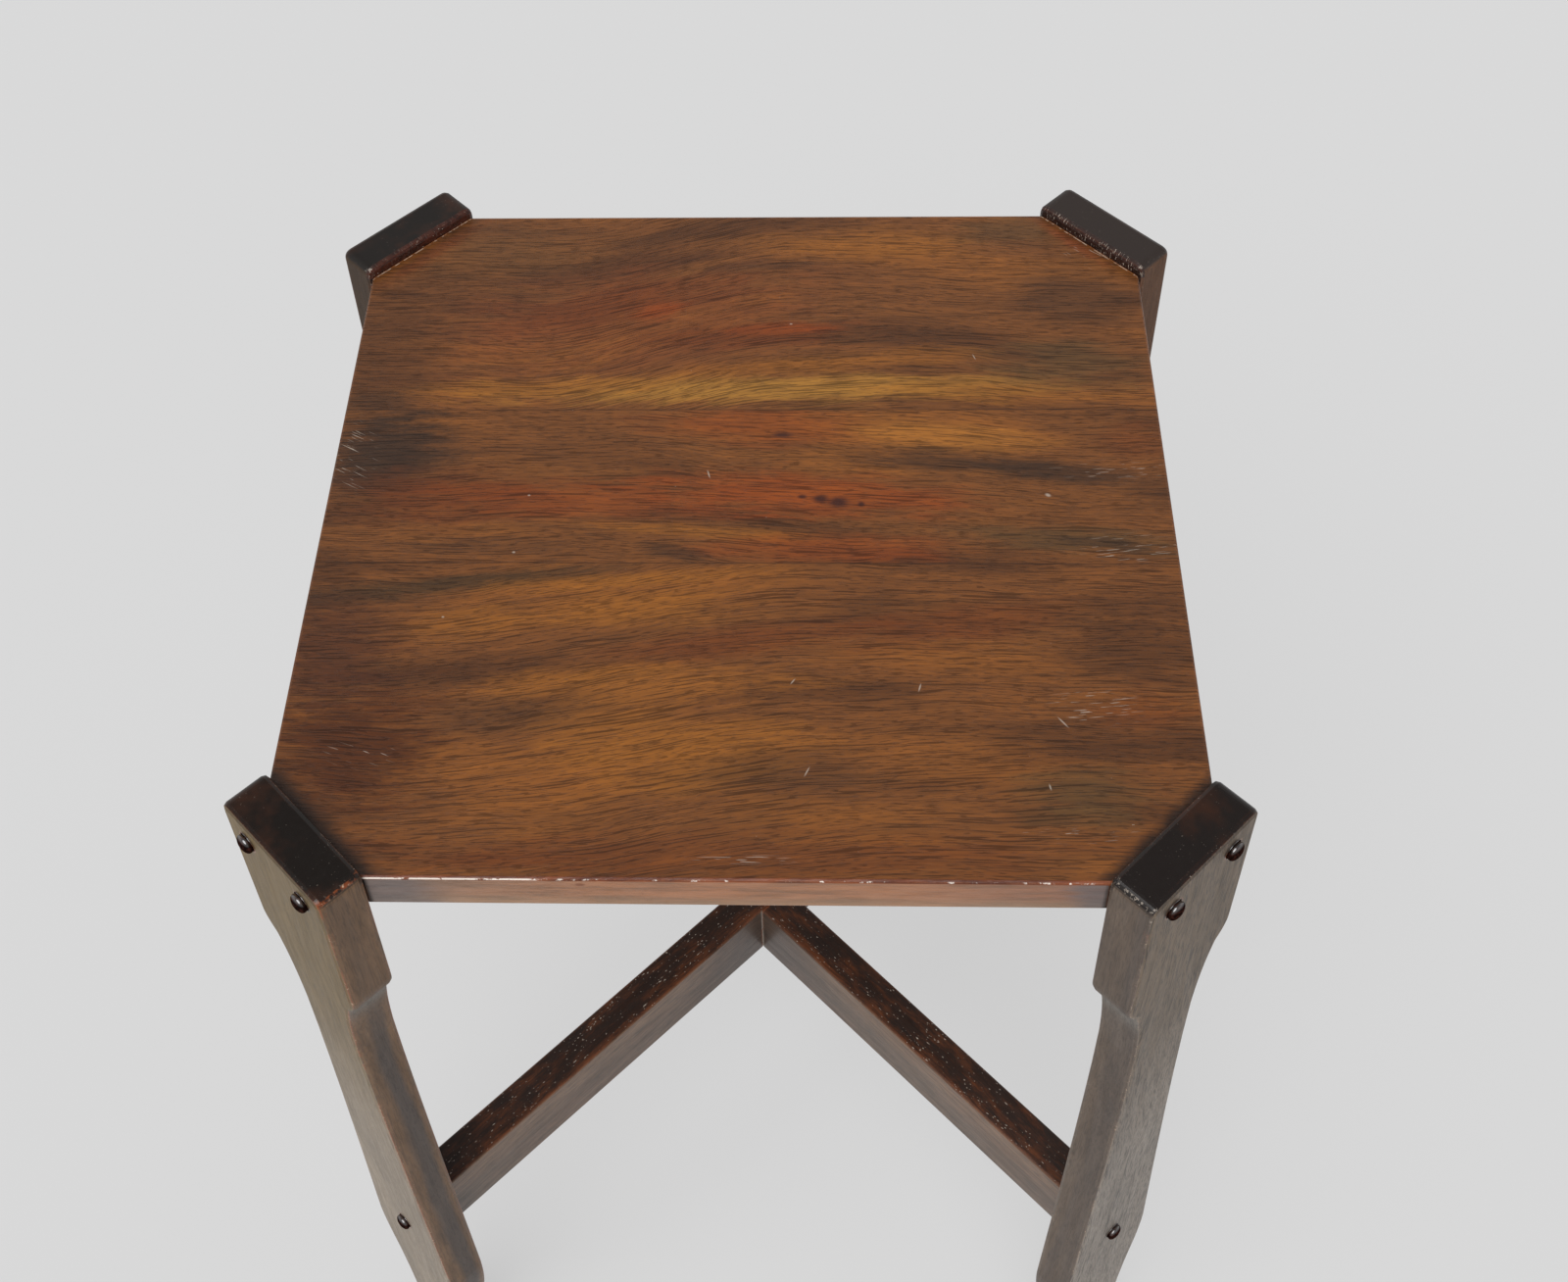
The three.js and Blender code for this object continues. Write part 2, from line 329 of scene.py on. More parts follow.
# %% [markdown]
# ## Worn edges
#
# Hands and dusters rub the finish off wherever two faces meet. The bevel node gives the normal that
# the surface would have if its edges were rounded more. Where that differs from the true normal there
# is an edge, and noise breaks the mark up, because wear comes in patches and not as a drawn line.

# %% The worn edge group
def make_wear_group():
    inputs = [("Point", "Vector", None), ("Reach", "Float", 2 * MM), ("Amount", "Float", 0.5)]
    outputs = [("Edge", "Float"), ("Worn", "Float")]
    group, tree, arriving, leaving = new_group("worn edge", inputs, outputs)
    rounded = tree.add("ShaderNodeBevel", {"Radius": arriving["Reach"]}, samples=6).outputs[0]
    same = tree.vector("DOT_PRODUCT", rounded, tree.facing())
    edge = tree.rise(tree.invert(same), 0.02, 0.06)
    patches = tree.noise(arriving["Point"], 38.0, 4.0, 0.6)
    nicks = tree.noise(arriving["Point"], 700.0, 2.0, 0.5)
    broken = tree.plus(tree.times(patches, 0.8), tree.times(nicks, 0.2))
    limit = tree.invert(arriving["Amount"])
    tree.feed(leaving["Edge"], edge)
    tree.feed(leaving["Worn"], tree.times(edge, tree.rise(broken, limit, tree.plus(limit, 0.08))))
    return group


WEAR = make_wear_group()
print("worn edge:", len(WEAR.nodes), "nodes")

# %% [markdown]
# ## Dust, specks and scratches
#
# An old surface carries pale specks that a duster left. They are the rare peaks of a fine noise, and
# a coarse noise gathers them in some places. Scratches are the peaks of a noise stretched very long
# and turned a little off the grain, so that they come in bundles of hairlines.

# %% The specks and scratches groups
def rare_peaks(tree, noise, amount, highest, width):
    """The peaks of a noise that pass a limit, which a larger amount lowers."""
    limit = tree.minus(highest, tree.times(amount, 0.2))
    return tree.rise(noise, limit, tree.plus(limit, width))


def make_specks_group():
    inputs = [("Point", "Vector", None), ("Amount", "Float", 0.5)]
    group, tree, arriving, leaving = new_group("specks", inputs, [("Specks", "Float")])
    fine = tree.noise(arriving["Point"], 950.0, 1.0, 0.5)
    coarse = tree.noise(arriving["Point"], 60.0, 2.0, 0.5)
    level = tree.plus(fine, tree.sway(coarse, 0.25))
    tree.feed(leaving["Specks"], rare_peaks(tree, level, arriving["Amount"], 0.90, 0.04))
    return group


def make_scratches_group():
    inputs = [("Point", "Vector", None), ("Turn", "Float", 0.0), ("Amount", "Float", 0.5)]
    group, tree, arriving, leaving = new_group("scratches", inputs, [("Scratches", "Float")])
    turned = tree.turn(arriving["Point"], arriving["Turn"])
    lines = tree.noise(turned, (110.0, 1900.0, 1.0), 1.0, 0.4)
    tree.feed(leaving["Scratches"], rare_peaks(tree, lines, arriving["Amount"], 0.80, 0.05))
    return group


SPECKS = make_specks_group()
SCRATCHES = make_scratches_group()
print("specks:", len(SPECKS.nodes), "nodes; scratches:", len(SCRATCHES.nodes), "nodes")

# %% [markdown]
# ## A stained patch
#
# The photograph shows where this top is redder, more golden or nearly black. Each such place becomes
# a soft ellipse, set by its middle, its half sizes and its tilt on the board, and a rough noise that
# follows the grain frays its border. The same group, small and with no fray, makes a single nick.

# %% The patch group
def make_patch_group():
    inputs = [
        ("Point", "Vector", None),
        ("Middle", "Vector", (0.0, 0.0, 0.0)),
        ("Half size", "Vector", (0.05, 0.01, 1.0)),
        ("Tilt", "Float", 0.0),
        ("Fray", "Float", 0.0),
    ]
    group, tree, arriving, leaving = new_group("stained patch", inputs, [("Mask", "Float")])
    away = tree.vector("SUBTRACT", arriving["Point"], arriving["Middle"])
    turned = tree.turn(away, tree.times(arriving["Tilt"], -1.0))
    inside = tree.vector("DIVIDE", turned, arriving["Half size"])
    reach = tree.plus(tree.vector("LENGTH", inside), arriving["Fray"])
    tree.feed(leaving["Mask"], tree.fall(reach, 0.3, 1.35))
    return group


PATCH = make_patch_group()
print("stained patch:", len(PATCH.nodes), "nodes")

# %% [markdown]
# ## The finish
#
# Under its colour every piece has the same old varnish, satin and a little uneven. Each material ends
# in one principled shader. The gloss is a thin clear coat, whose weight each material sets for its own
# wood: less at the top's open pores, more on the edges of the legs. The bump sinks the pores and lets
# the fibres show in a raking light.

# %% Shader and bump for varnished wood
RELIEF = 0.1 * MM


def varnished(name, coat_roughness=0.22, specular=0.5):
    material = bpy.data.materials.new(name)
    tree = cleared_tree(material)
    shader = tree.add("ShaderNodeBsdfPrincipled")
    shader.inputs["Coat Roughness"].default_value = coat_roughness
    shader.inputs["Specular IOR Level"].default_value = specular
    tree.add("ShaderNodeOutputMaterial", {"Surface": shader.outputs[0]})
    return material, tree, shader


def wood_relief(tree, figure):
    return tree.minus(tree.times(figure["Fibres"], 0.25), figure["Pores"])


def finish(tree, shader, colour, roughness, coat, height, strength):
    """Join the last values of a varnished material to its shader."""
    inputs = {"Height": height, "Distance": RELIEF, "Strength": strength}
    bump = tree.add("ShaderNodeBump", inputs).outputs[0]
    values = {"Base Color": colour, "Roughness": roughness, "Coat Weight": coat, "Normal": bump}
    for name, value in values.items():
        tree.feed(shader.inputs[name], value)


print("finish ready")

# %% [markdown]
# ## The top's three boards
#
# The boards are cut from different planks, so each has its own figure: the back one runs from red
# brown to a golden band along its seam, the middle one carries the knot and the reddest streaks, and
# the front one is golden brown with darker ends. The tones come first.

# %% Tones of the top
BASE_BROWN = srgb(122, 73, 33)
DUSKY_BROWN = srgb(92, 54, 25)
WARM_BROWN = srgb(139, 83, 33)
SHADE = srgb(60, 40, 26)
DARK_RED = srgb(110, 54, 18)
RED = srgb(152, 66, 12)
GOLD = srgb(156, 95, 31)
PALE_GOLD = srgb(170, 118, 47)
OLIVE = srgb(93, 66, 36)
NEAR_BLACK = srgb(22, 14, 10)
PALE_MARK_AND_GLINT = srgb(214, 200, 184)
print("darkest tone", [round(value, 4) for value in NEAR_BLACK[:3]])

# %% [markdown]
# ### Stained patches
#
# A photograph wrapped over the top would carry its light and its reflections with it, so the boards'
# tones are placed one by one instead. Each row is one patch: its middle and its half sizes in
# millimetres from the middle of the top, its tilt in degrees, its tone, and how strongly it colours the
# board.

# %% Patches of the three boards
TOP_PATCHES = {
    "back": [
        ((-60, 125), (120, 40), 8, srgb(122, 64, 30), 0.6),
        ((-71, 136), (66, 15), 14, DARK_RED, 0.75),
        ((-48, 130), (16, 8), 6, RED, 0.6),
        ((-8, 113), (66, 8), 3, DARK_RED, 0.7),
        ((15, 117), (30, 5), 3, RED, 0.45),
        ((5, 165), (46, 5), 5, SHADE, 0.4),
        ((64, 180), (66, 12), 0, GOLD, 0.5),
        ((80, 145), (46, 22), 0, BASE_BROWN, 0.7),
        ((15, 75), (150, 10), 1, PALE_GOLD, 0.9),
        ((-110, 75), (70, 7), 3, GOLD, 0.6),
        ((120, 72), (60, 8), -2, GOLD, 0.45),
        ((35, 92), (90, 7), 5, GOLD, 0.55),
        ((168, 142), (30, 26), 0, SHADE, 0.45),
        ((160, 92), (40, 16), -4, OLIVE, 0.75),
        ((140, 190), (30, 12), 0, OLIVE, 0.6),
        ((-188, 105), (34, 50), 0, DUSKY_BROWN, 0.8),
        ((-190, 64), (26, 8), 4, SHADE, 0.55),
        ((-166, 150), (26, 16), 0, DUSKY_BROWN, 0.6),
        ((-130, 175), (50, 20), 0, OLIVE, 0.35),
        ((-174, 174), (34, 5), 45, DARK_RED, 0.7),
        ((170, 182), (24, 4), -45, srgb(140, 70, 34), 0.6),
    ],
    "middle": [
        ((-178, 34), (38, 34), 10, SHADE, 0.95),
        ((-145, 4), (50, 18), 0, DARK_RED, 0.7),
        ((17, 50), (66, 12), -2, RED, 0.42),
        ((93, 44), (50, 12), -6, srgb(168, 106, 40), 0.9),
        ((26, 6), (80, 15), -3, RED, 0.62),
        ((-66, 1), (74, 12), -4, RED, 0.38),
        ((96, 28), (58, 9), -6, SHADE, 0.68),
        ((152, 19), (50, 7), -6, SHADE, 0.75),
        ((-20, -17), (60, 5), -4, GOLD, 0.6),
        ((38, -27), (60, 9), 0, RED, 0.45),
        ((-33, -30), (18, 5), -18, SHADE, 0.6),
        ((-120, -26), (50, 6), 0, SHADE, 0.35),
        ((152, -22), (52, 9), -5, OLIVE, 0.8),
        ((168, -24), (30, 4), -8, SHADE, 0.5),
        ((190, 40), (20, 14), 0, DARK_RED, 0.5),
        ((-90, 35), (50, 12), 0, DUSKY_BROWN, 0.3),
    ],
    "front": [
        ((-140, -50), (84, 7), 7, srgb(62, 46, 26), 0.8),
        ((-60, -47), (76, 5), 5, GOLD, 0.75),
        ((-55, -64), (64, 11), 3, GOLD, 0.65),
        ((-124, -72), (36, 10), 4, GOLD, 0.5),
        ((-5, -82), (64, 9), 10, DARK_RED, 0.65),
        ((-63, -102), (48, 9), 6, GOLD, 0.75),
        ((-28, -139), (64, 22), 0, GOLD, 0.75),
        ((-42, -110), (70, 12), 6, srgb(150, 91, 34), 0.85),
        ((-109, -122), (48, 10), 8, SHADE, 0.4),
        ((-172, -139), (40, 40), 0, srgb(82, 41, 13), 0.95),
        ((-188, -88), (34, 34), 0, srgb(84, 46, 24), 0.85),
        ((93, -144), (58, 16), -3, WARM_BROWN, 0.7),
        ((93, -72), (56, 11), 8, DARK_RED, 0.6),
        ((176, -80), (36, 28), 0, DUSKY_BROWN, 0.85),
        ((178, -117), (24, 12), 0, DARK_RED, 0.5),
        ((22, -150), (44, 12), -4, SHADE, 0.45),
        ((0, -192), (170, 12), 0, DARK_RED, 0.45),
        ((150, -162), (32, 14), 0, OLIVE, 0.8),
        ((-100, -195), (60, 5), 0, DARK_RED, 0.5),
    ],
}
print(sum(len(patches) for patches in TOP_PATCHES.values()), "patches")

# %% [markdown]
# ### Knots, nicks and scratches
#
# A row holds the middle and the half sizes of a mark in millimetres. Nicks have a tilt in degrees as
# well. A scratched place has the turn of its lines, in radians, and how many there are.

# %% Marks on the top
KNOTS = [
    ((36, 3.0), (4.2, 3.0)),
    ((44.6, 0.9), (5.4, 3.8)),
    ((55.4, -0.3), (2.0, 1.8)),
    ((27, 4.4), (2.4, 1.4)),
    ((17, 44), (6.0, 2.0)),
]
NICKS = [
    ((20.6, 120.8), (0.8, 0.5), 0),
    ((114, 97), (0.3, 2.0), 20),
    ((144.8, 5.5), (1.5, 1.0), -30),
    ((-18.5, 18.5), (0.4, 2.6), 15),
    ((-105, 5), (0.7, 0.5), 0),
    ((-109, -30), (0.8, 0.6), 0),
    ((-138, -68), (0.7, 0.5), 0),
    ((23.5, -103), (0.35, 1.8), -35),
    ((30, -150), (0.35, 2.6), -25),
    ((80, -106), (0.4, 2.2), -15),
    ((134, -157), (0.4, 1.6), 12),
    ((142, -124), (3.4, 0.4), -52),
]
SCRATCHED = [
    ((-193, 30), (10, 22), 0.5, 0.62),
    ((178, 21), (28, 6), -0.05, 0.68),
    ((182, -27), (24, 8), -0.12, 0.72),
    ((158, -116), (22, 9), -0.10, 0.75),
    ((144, -180), (24, 4), -0.08, 0.6),
    ((-165, -142), (15, 7), 0.35, 0.55),
    ((180, 172), (16, 10), 0.7, 0.6),
    ((5, -193), (22, 2), 0.0, 0.9),
]
EDGE_DENT = (-64.5 * MM, -HALF_TOP, TOP_Z - 4 * MM)
print(len(KNOTS), "knots,", len(NICKS), "nicks and", len(SCRATCHED), "scratched places")

# %% [markdown]
# ### Upper faces
#
# Bands choose between close browns, the patches pull the colour towards what the photograph has at that
# place, and streaks, fibres and pores run over them. A dark band runs along each clipped corner, in the
# angle between the top and the proud heads of the legs: partly wax and dirt, partly painted shade and a
# painted reflection of the dark heads. At the back a pale broken line runs in it. The first two helpers
# place a mask in millimetres, and change a value from one half of the table to the other.

# %% The boards' upper faces
KNOT_BROWN = srgb(48, 20, 18)
CORNER_DIRT_AND_SHADE = srgb(34, 22, 15)
PALE_CORNER_LINE = srgb(212, 192, 172)
PORE_STRENGTH = 0.54
HALVES_MEET_WITHIN = 50 * MM


def place_mask(tree, point, middle, half, tilt=0.0, fray=0.0):
    inputs = {
        "Point": point,
        "Middle": (middle[0] * MM, middle[1] * MM, TOP_Z),
        "Half size": (half[0] * MM, half[1] * MM, 1.0),
        "Tilt": math.radians(tilt),
        "Fray": fray,
    }
    return tree.use(PATCH, inputs)["Mask"]


def halves(tree, place, first, last):
    """One value on the left or front half of the table, another on the right or back half."""
    return tree.span(place, -HALVES_MEET_WITHIN, HALVES_MEET_WITHIN, first, last)


def top_marks(tree, point):
    """Nicks and bundles of scratches, pale on the finish."""
    marks = [tree.times(place_mask(tree, point, *nick), 0.65) for nick in NICKS]
    for middle, half, turn, amount in SCRATCHED:
        lines = tree.use(SCRATCHES, {"Point": point, "Turn": turn, "Amount": amount})["Scratches"]
        marks.append(tree.times(lines, place_mask(tree, point, middle, half), 0.7))
    return tree.most(*marks)


def corner_shade_and_line(tree, point):
    """Dark wax and painted shade along the clipped corners, strongest at the front, and a pale broken
    line at the back.
    """
    x, y = tree.split(point)[:2]
    out = tree.plus(tree.size(x), tree.size(y))
    to_seat = tree.minus(SEAT, tree.times(out, DIAGONAL))
    border = tree.sway(tree.noise(point, 120.0, 3.0, 0.6), 6 * MM)
    reach = tree.times(tree.plus(to_seat, border), halves(tree, x, 0.95, 1.5))
    dirt_and_shade_strip = tree.times(tree.fall(reach, 1 * MM, 10.5 * MM), halves(tree, y, 0.88, 0.3))
    line = tree.fall(tree.size(tree.minus(to_seat, 0.6 * MM)), 0.1 * MM, 0.4 * MM)
    broken = tree.rise(tree.noise(point, 330.0, 3.0, 0.7), 0.44, 0.56)
    return dirt_and_shade_strip, tree.times(line, broken, halves(tree, y, 0.0, 0.7))


def board_face(tree, point, figure, name):
    """The upper face: bands, stained patches, streaks, pores, knots in the middle board, and wax."""
    stops = [(0.0, DUSKY_BROWN), (0.35, BASE_BROWN), (0.65, BASE_BROWN), (1.0, WARM_BROWN)]
    colour = tree.ramp(tree.vary(figure["Bands"]), stops)
    fray = tree.sway(tree.noise(figure["Grain"], (20.0, 120.0, 120.0), 6.0, 0.75), 2.6)
    for middle, half, tilt, tone, weight in TOP_PATCHES[name]:
        colour = tree.paint(colour, tone, place_mask(tree, point, middle, half, tilt, fray), weight)
    colour = tree.shade(colour, tree.vary(figure["Streaks"], 0.84, 1.18, 0.25))
    colour = tree.shade(colour, tree.vary(figure["Fibres"], 0.80, 1.18, 0.25))
    colour = tree.paint(colour, NEAR_BLACK, figure["Pores"], PORE_STRENGTH)
    for middle, half in KNOTS if name == "middle" else []:
        mask = place_mask(tree, point, middle, half, 0.0, tree.times(fray, 0.5))
        colour = tree.paint(colour, KNOT_BROWN, mask, 0.85)
    dirt_and_shade_strip, line = corner_shade_and_line(tree, point)
    # Painted shade with wax and dirt: the dark band in the angle beside each leg's head.
    colour = tree.paint(colour, CORNER_DIRT_AND_SHADE, dirt_and_shade_strip)
    return tree.paint(colour, PALE_CORNER_LINE, line)


print("upper faces ready")

# %% [markdown]
# ### The boards' edges
#
# The upright edges of the boards have less stain and read as tan, greyer towards the ends and darker on
# the end grain. Where the front edge meets the top, the finish is rubbed through along a red brown
# arris, and a thin bright line on it is a painted highlight, brightest near the left end. The wear keeps
# away from the seams, where the boards' edges lie against each other.

# %% Edges and seams of the boards
EDGE_TAN = srgb(162, 112, 80)
EDGE_TAN_LEFT = srgb(148, 117, 96)
EDGE_TAN_RIGHT = srgb(140, 98, 76)
EDGE_CLOUD = srgb(104, 84, 66)
EDGE_FOOT = srgb(166, 140, 112)
EDGE_GREY = srgb(96, 92, 94)
END_GRAIN = srgb(92, 60, 40)
ARRIS_DARK = srgb(84, 38, 18)
ARRIS_RED = srgb(136, 70, 34)
ARRIS_WORN = srgb(176, 108, 66)
ARRIS_PAINTED_HIGHLIGHT = srgb(248, 236, 224)
EDGE_DENT_SIZE = (3 * MM, 1.0, 1.6 * MM)


def board_edge_tone(tree, point, figure):
    """The upright edges: greyer at both ends, warmest in the middle, darker on the end grain, with a
    painted shadow where each meets a leg.
    """
    x, y, z = tree.split(point)
    colour = tree.mix(tree.fall(x, -170 * MM, -50 * MM), EDGE_TAN, EDGE_TAN_LEFT)
    colour = tree.paint(colour, EDGE_TAN_RIGHT, tree.rise(x, 50 * MM, 170 * MM))
    cloud = tree.noise(point, (28.0, 28.0, 260.0), 4.0, 0.65)
    colour = tree.paint(colour, EDGE_CLOUD, tree.span(cloud, 0.42, 0.7, 0.0, 0.5))
    colour = tree.shade(colour, tree.span(cloud, 0.3, 0.6, 1.14, 0.96))
    colour = tree.paint(colour, EDGE_FOOT, tree.span(z, TOP_LOW.z, TOP_LOW.z + 11 * MM, 0.45, 0.0))
    wide = tree.size(x)
    end = tree.span(wide, HALF_TOP - 0.8 * MM, HALF_TOP - 0.3 * MM, 0.0, 0.6)
    colour = tree.paint(colour, END_GRAIN, end)
    along = tree.math("MINIMUM", wide, tree.size(y))
    to_corner = tree.minus(HALF_TOP - CORNER_CUT, along)
    reach = halves(tree, x, 36 * MM, 18 * MM)
    near_corner = tree.math("DIVIDE", tree.plus(to_corner, tree.sway(cloud, 30 * MM)), reach)
    colour = tree.paint(colour, EDGE_GREY, tree.span(near_corner, 0.4, 1.1, 0.7, 0.0))
    # Painted shadow: nearly black within a few millimetres of the clipped corner, where the edge meets a
    # leg.
    colour = tree.paint(colour, NEAR_BLACK, tree.span(to_corner, 0.0, 2.2 * MM, 0.8, 0.0))
    dent = tree.vector("DIVIDE", tree.vector("SUBTRACT", point, EDGE_DENT), EDGE_DENT_SIZE)
    dented = tree.span(tree.vector("LENGTH", dent), 0.4, 1.0, 0.7, 0.0)
    colour = tree.paint(colour, DARK_RED, dented)
    return tree.shade(colour, tree.vary(figure["Fibres"], 0.92, 1.06))


def board_borders(tree, point, figure, colour):
    """The seams, the worn edges, and the front arris with its painted highlight line."""
    x, y, z = tree.split(point)
    clear = []
    for seam in (FRONT_SEAM, BACK_SEAM):
        away = tree.size(tree.minus(y, seam))
        colour = tree.paint(colour, NEAR_BLACK, tree.span(away, 0.1 * MM, 0.6 * MM, 0.5, 0.0))
        clear.append(tree.rise(away, 2 * MM, 4 * MM))
    wear = tree.use(WEAR, {"Point": point, "Reach": 1.6 * MM, "Amount": 0.56})
    front = tree.fall(y, -HALF_TOP + 1.4 * MM, -HALF_TOP + 1.8 * MM)
    arris = tree.times(front, tree.rise(z, TOP_Z - 1.3 * MM, TOP_Z - 1 * MM))
    tone = tree.mix(tree.rise(figure["Streaks"], 0.35, 0.65), ARRIS_DARK, ARRIS_RED)
    colour = tree.paint(colour, tone, arris)
    colour = tree.paint(colour, ARRIS_WORN, wear["Worn"], *clear, 0.4)
    # Painted highlight: a thin broken bright line along the front arris, brightest near the left end.
    thin = tree.fall(tree.size(tree.minus(z, TOP_Z - 0.6 * MM)), 0.2 * MM, 0.4 * MM)
    at_left = tree.span(x, -100 * MM, -50 * MM, 0.22, 0.0)
    at_right = tree.span(x, 115 * MM, 135 * MM, 0.0, 0.05)
    arris_highlight = tree.plus(tree.noise(point, 260.0, 3.0, 0.7), at_left, at_right)
    return tree.paint(colour, ARRIS_PAINTED_HIGHLIGHT, tree.rise(arris_highlight, 0.58, 0.70), front, thin)


print("board edges ready")

# %% [markdown]
# ### Three boards
#
# One function makes all three. The upper face's colour gives way to the edge's where the surface turns
# upright, and the seams, the arris and the pale marks lie over both. The underside is the same wood, a
# little darker.

# %% Make the board materials
def board_material(name, seed, climbs_between, climb):
    """The grain climbs by so many millimetres between two places along the board."""
    material, tree, shader = varnished("top_" + name + "_wood", coat_roughness=0.25, specular=0.3)
    point = tree.point()
    inputs = {"Point": point, "Seed": seed, "Rise": climb * MM}
    inputs["Rise from"], inputs["Rise to"] = [place * MM for place in climbs_between]
    figure = tree.use(FIGURE, inputs)
    upward = tree.split(tree.facing())[2]
    upright = tree.fall(tree.size(upward), 0.4, 0.9)
    colour = board_face(tree, point, figure, name)
    colour = tree.paint(colour, board_edge_tone(tree, point, figure), upright)
    colour = board_borders(tree, point, figure, colour)
    colour = tree.shade(colour, tree.span(upward, -0.9, -0.5, 0.7, 1.0))
    specks = tree.use(SPECKS, {"Point": point, "Amount": 0.25})["Specks"]
    above = tree.rise(tree.split(point)[2], TOP_Z - 4 * MM, TOP_Z - 1 * MM)
    marks = tree.times(tree.most(top_marks(tree, point), tree.times(specks, 0.6)), above)
    colour = tree.paint(colour, PALE_MARK_AND_GLINT, marks, 0.75)
    roughness = tree.plus(tree.vary(figure["Streaks"], 0.48, 0.38), tree.times(marks, 0.3))
    coat = tree.math("SUBTRACT", 0.25, tree.times(figure["Pores"], PORE_STRENGTH), clamp=True)
    finish(tree, shader, colour, roughness, coat, wood_relief(tree, figure), 0.6)
    return material


BOARDS = {
    "top_board_back": board_material("back", 3.1, (-120, 20), 30),
    "top_board_middle": board_material("middle", 7.7, (-60, 180), -14),
    "top_board_front": board_material("front", 12.9, (-160, 40), 26),
}
print("boards:", ", ".join(BOARDS))

# %% [markdown]
# ## The legs
#
# The legs are quartered boards stained nearly black. Decades of polish give their upright faces a grey
# sheen over the stain, and that sheen is painted into their colour as a painted reflection. Their grain
# runs up the leg. The four stand on the diagonals, so a point's place on a leg comes from how far it is
# out along its diagonal and how far it is off to the side of it, and the same turn tells which face of
# the leg the point is on. `Depth` runs from 0 at the inner face to 1 at the outer one, and each leg has
# its own stretch of the noise.

# %% Points and faces of a leg
def make_leg_place_group():
    names = ("Height", "Depth", "Outward", "Upward", "Left", "Back")
    outputs = [("Point", "Vector")] + [(name, "Float") for name in names]
    group, tree, _, leaving = new_group("leg place", [], outputs)
    x, y, z = tree.split(tree.point())
    right = tree.math("SIGN", x)
    back = tree.math("SIGN", y)
    wide = tree.size(x)
    deep = tree.size(y)
    out = tree.times(tree.plus(wide, deep), DIAGONAL)
    aside = tree.times(tree.minus(wide, deep), DIAGONAL)
    which = tree.plus(tree.times(right, 1.3), tree.times(back, 2.9))
    seat = tree.plus(tree.times(tree.minus(TOP_Z, z), LEG_LEAN), SEAT)
    facing = tree.facing()
    straight_out = tree.vector("DOT_PRODUCT", facing, tree.join(right, back, 0.0))
    values = {
        "Point": tree.join(tree.plus(z, which), aside, out),
        "Height": z,
        "Depth": tree.math("DIVIDE", tree.minus(out, seat), LEG_THICKNESS),
        "Outward": tree.times(straight_out, DIAGONAL),
        "Upward": tree.split(facing)[2],
        "Left": tree.fall(right, -0.5, 0.5),
        "Back": tree.rise(back, -0.5, 0.5),
    }
    for name, value in values.items():
        tree.feed(leaving[name], value)
    return group


LEG_PLACE = make_leg_place_group()
print("leg place:", len(LEG_PLACE.nodes), "nodes")

# %% [markdown]
# ### Faces of a leg
#
# The outer faces are the most polished, and the grey sheen painted into their colour, a painted
# reflection, reads olive grey on the left and taupe on the right, lighter lower down. The side faces are
# browner, with a dark streak down the middle below the shoulder and a painted grey highlight on the
# slope under the crease. The inner faces are plain dark brown. On the back legs the side and outer faces
# are painted browner and mostly darker, as painted shade with less of the painted sheen.

# %% Tones of the faces
OUTER_SHEEN_LEFT_HIGH = srgb(110, 88, 46)
OUTER_SHEEN_LEFT_LOW = srgb(146, 131, 113)
OUTER_SHEEN_RIGHT_HIGH = srgb(108, 90, 70)
OUTER_SHEEN_RIGHT_LOW = srgb(136, 125, 114)
SIDE_LEFT = srgb(110, 82, 56)
SIDE_RIGHT = srgb(96, 80, 66)
SIDE_GREY = srgb(70, 61, 57)
SLOPE_PAINTED_LIGHT = srgb(114, 109, 101)
INNER_BROWN = srgb(46, 28, 20)
BACK_SHADE_LEFT = srgb(62, 43, 24)
BACK_SHADE_RIGHT = srgb(100, 68, 46)
SHOULDER_Z = HEAD_Z - SHOULDER_DROP
CREASE_Z = HEAD_Z - CREASE_DROP


def outer_face(tree, place):
    """1 on the outer face of a leg, 0 on its sides and its inner face."""
    return tree.rise(place["Outward"], 0.5, 0.9)


def leg_side_tone(tree, place, figure):
    left = place["Left"]
    drift = tree.sway(figure["Bands"], 0.9)
    mottle = tree.noise(place["Point"], (28.0, 110.0, 110.0), 5.0, 0.7)
    side = tree.mix(left, SIDE_RIGHT, SIDE_LEFT)
    side = tree.shade(side, tree.vary(mottle, 0.84, 1.16))
    off_middle = tree.size(tree.plus(tree.minus(place["Depth"], 0.5), drift))
    below = tree.span(place["Height"], SHOULDER_Z - 80 * MM, SHOULDER_Z, 0.85, 0.15)
    streak = tree.times(tree.fall(off_middle, 0.08, 0.28), below)
    side = tree.paint(side, SIDE_GREY, streak, tree.between(left, 0.45, 1.0))
    side = tree.paint(side, SIDE_GREY, tree.rise(place["Depth"], 0.55, 0.85), tree.invert(left), 0.45)
    # Painted highlight: a grey light on the slope just below the crease, ragged along its lower border.
    below_crease = tree.minus(CREASE_Z, place["Height"])
    ragged = tree.plus(below_crease, tree.times(drift, 20 * MM))
    crease_light = tree.span(ragged, 4 * MM, 26 * MM, 0.85, 0.0)
    return tree.paint(side, SLOPE_PAINTED_LIGHT, crease_light, tree.rise(below_crease, 0.0, 1 * MM))


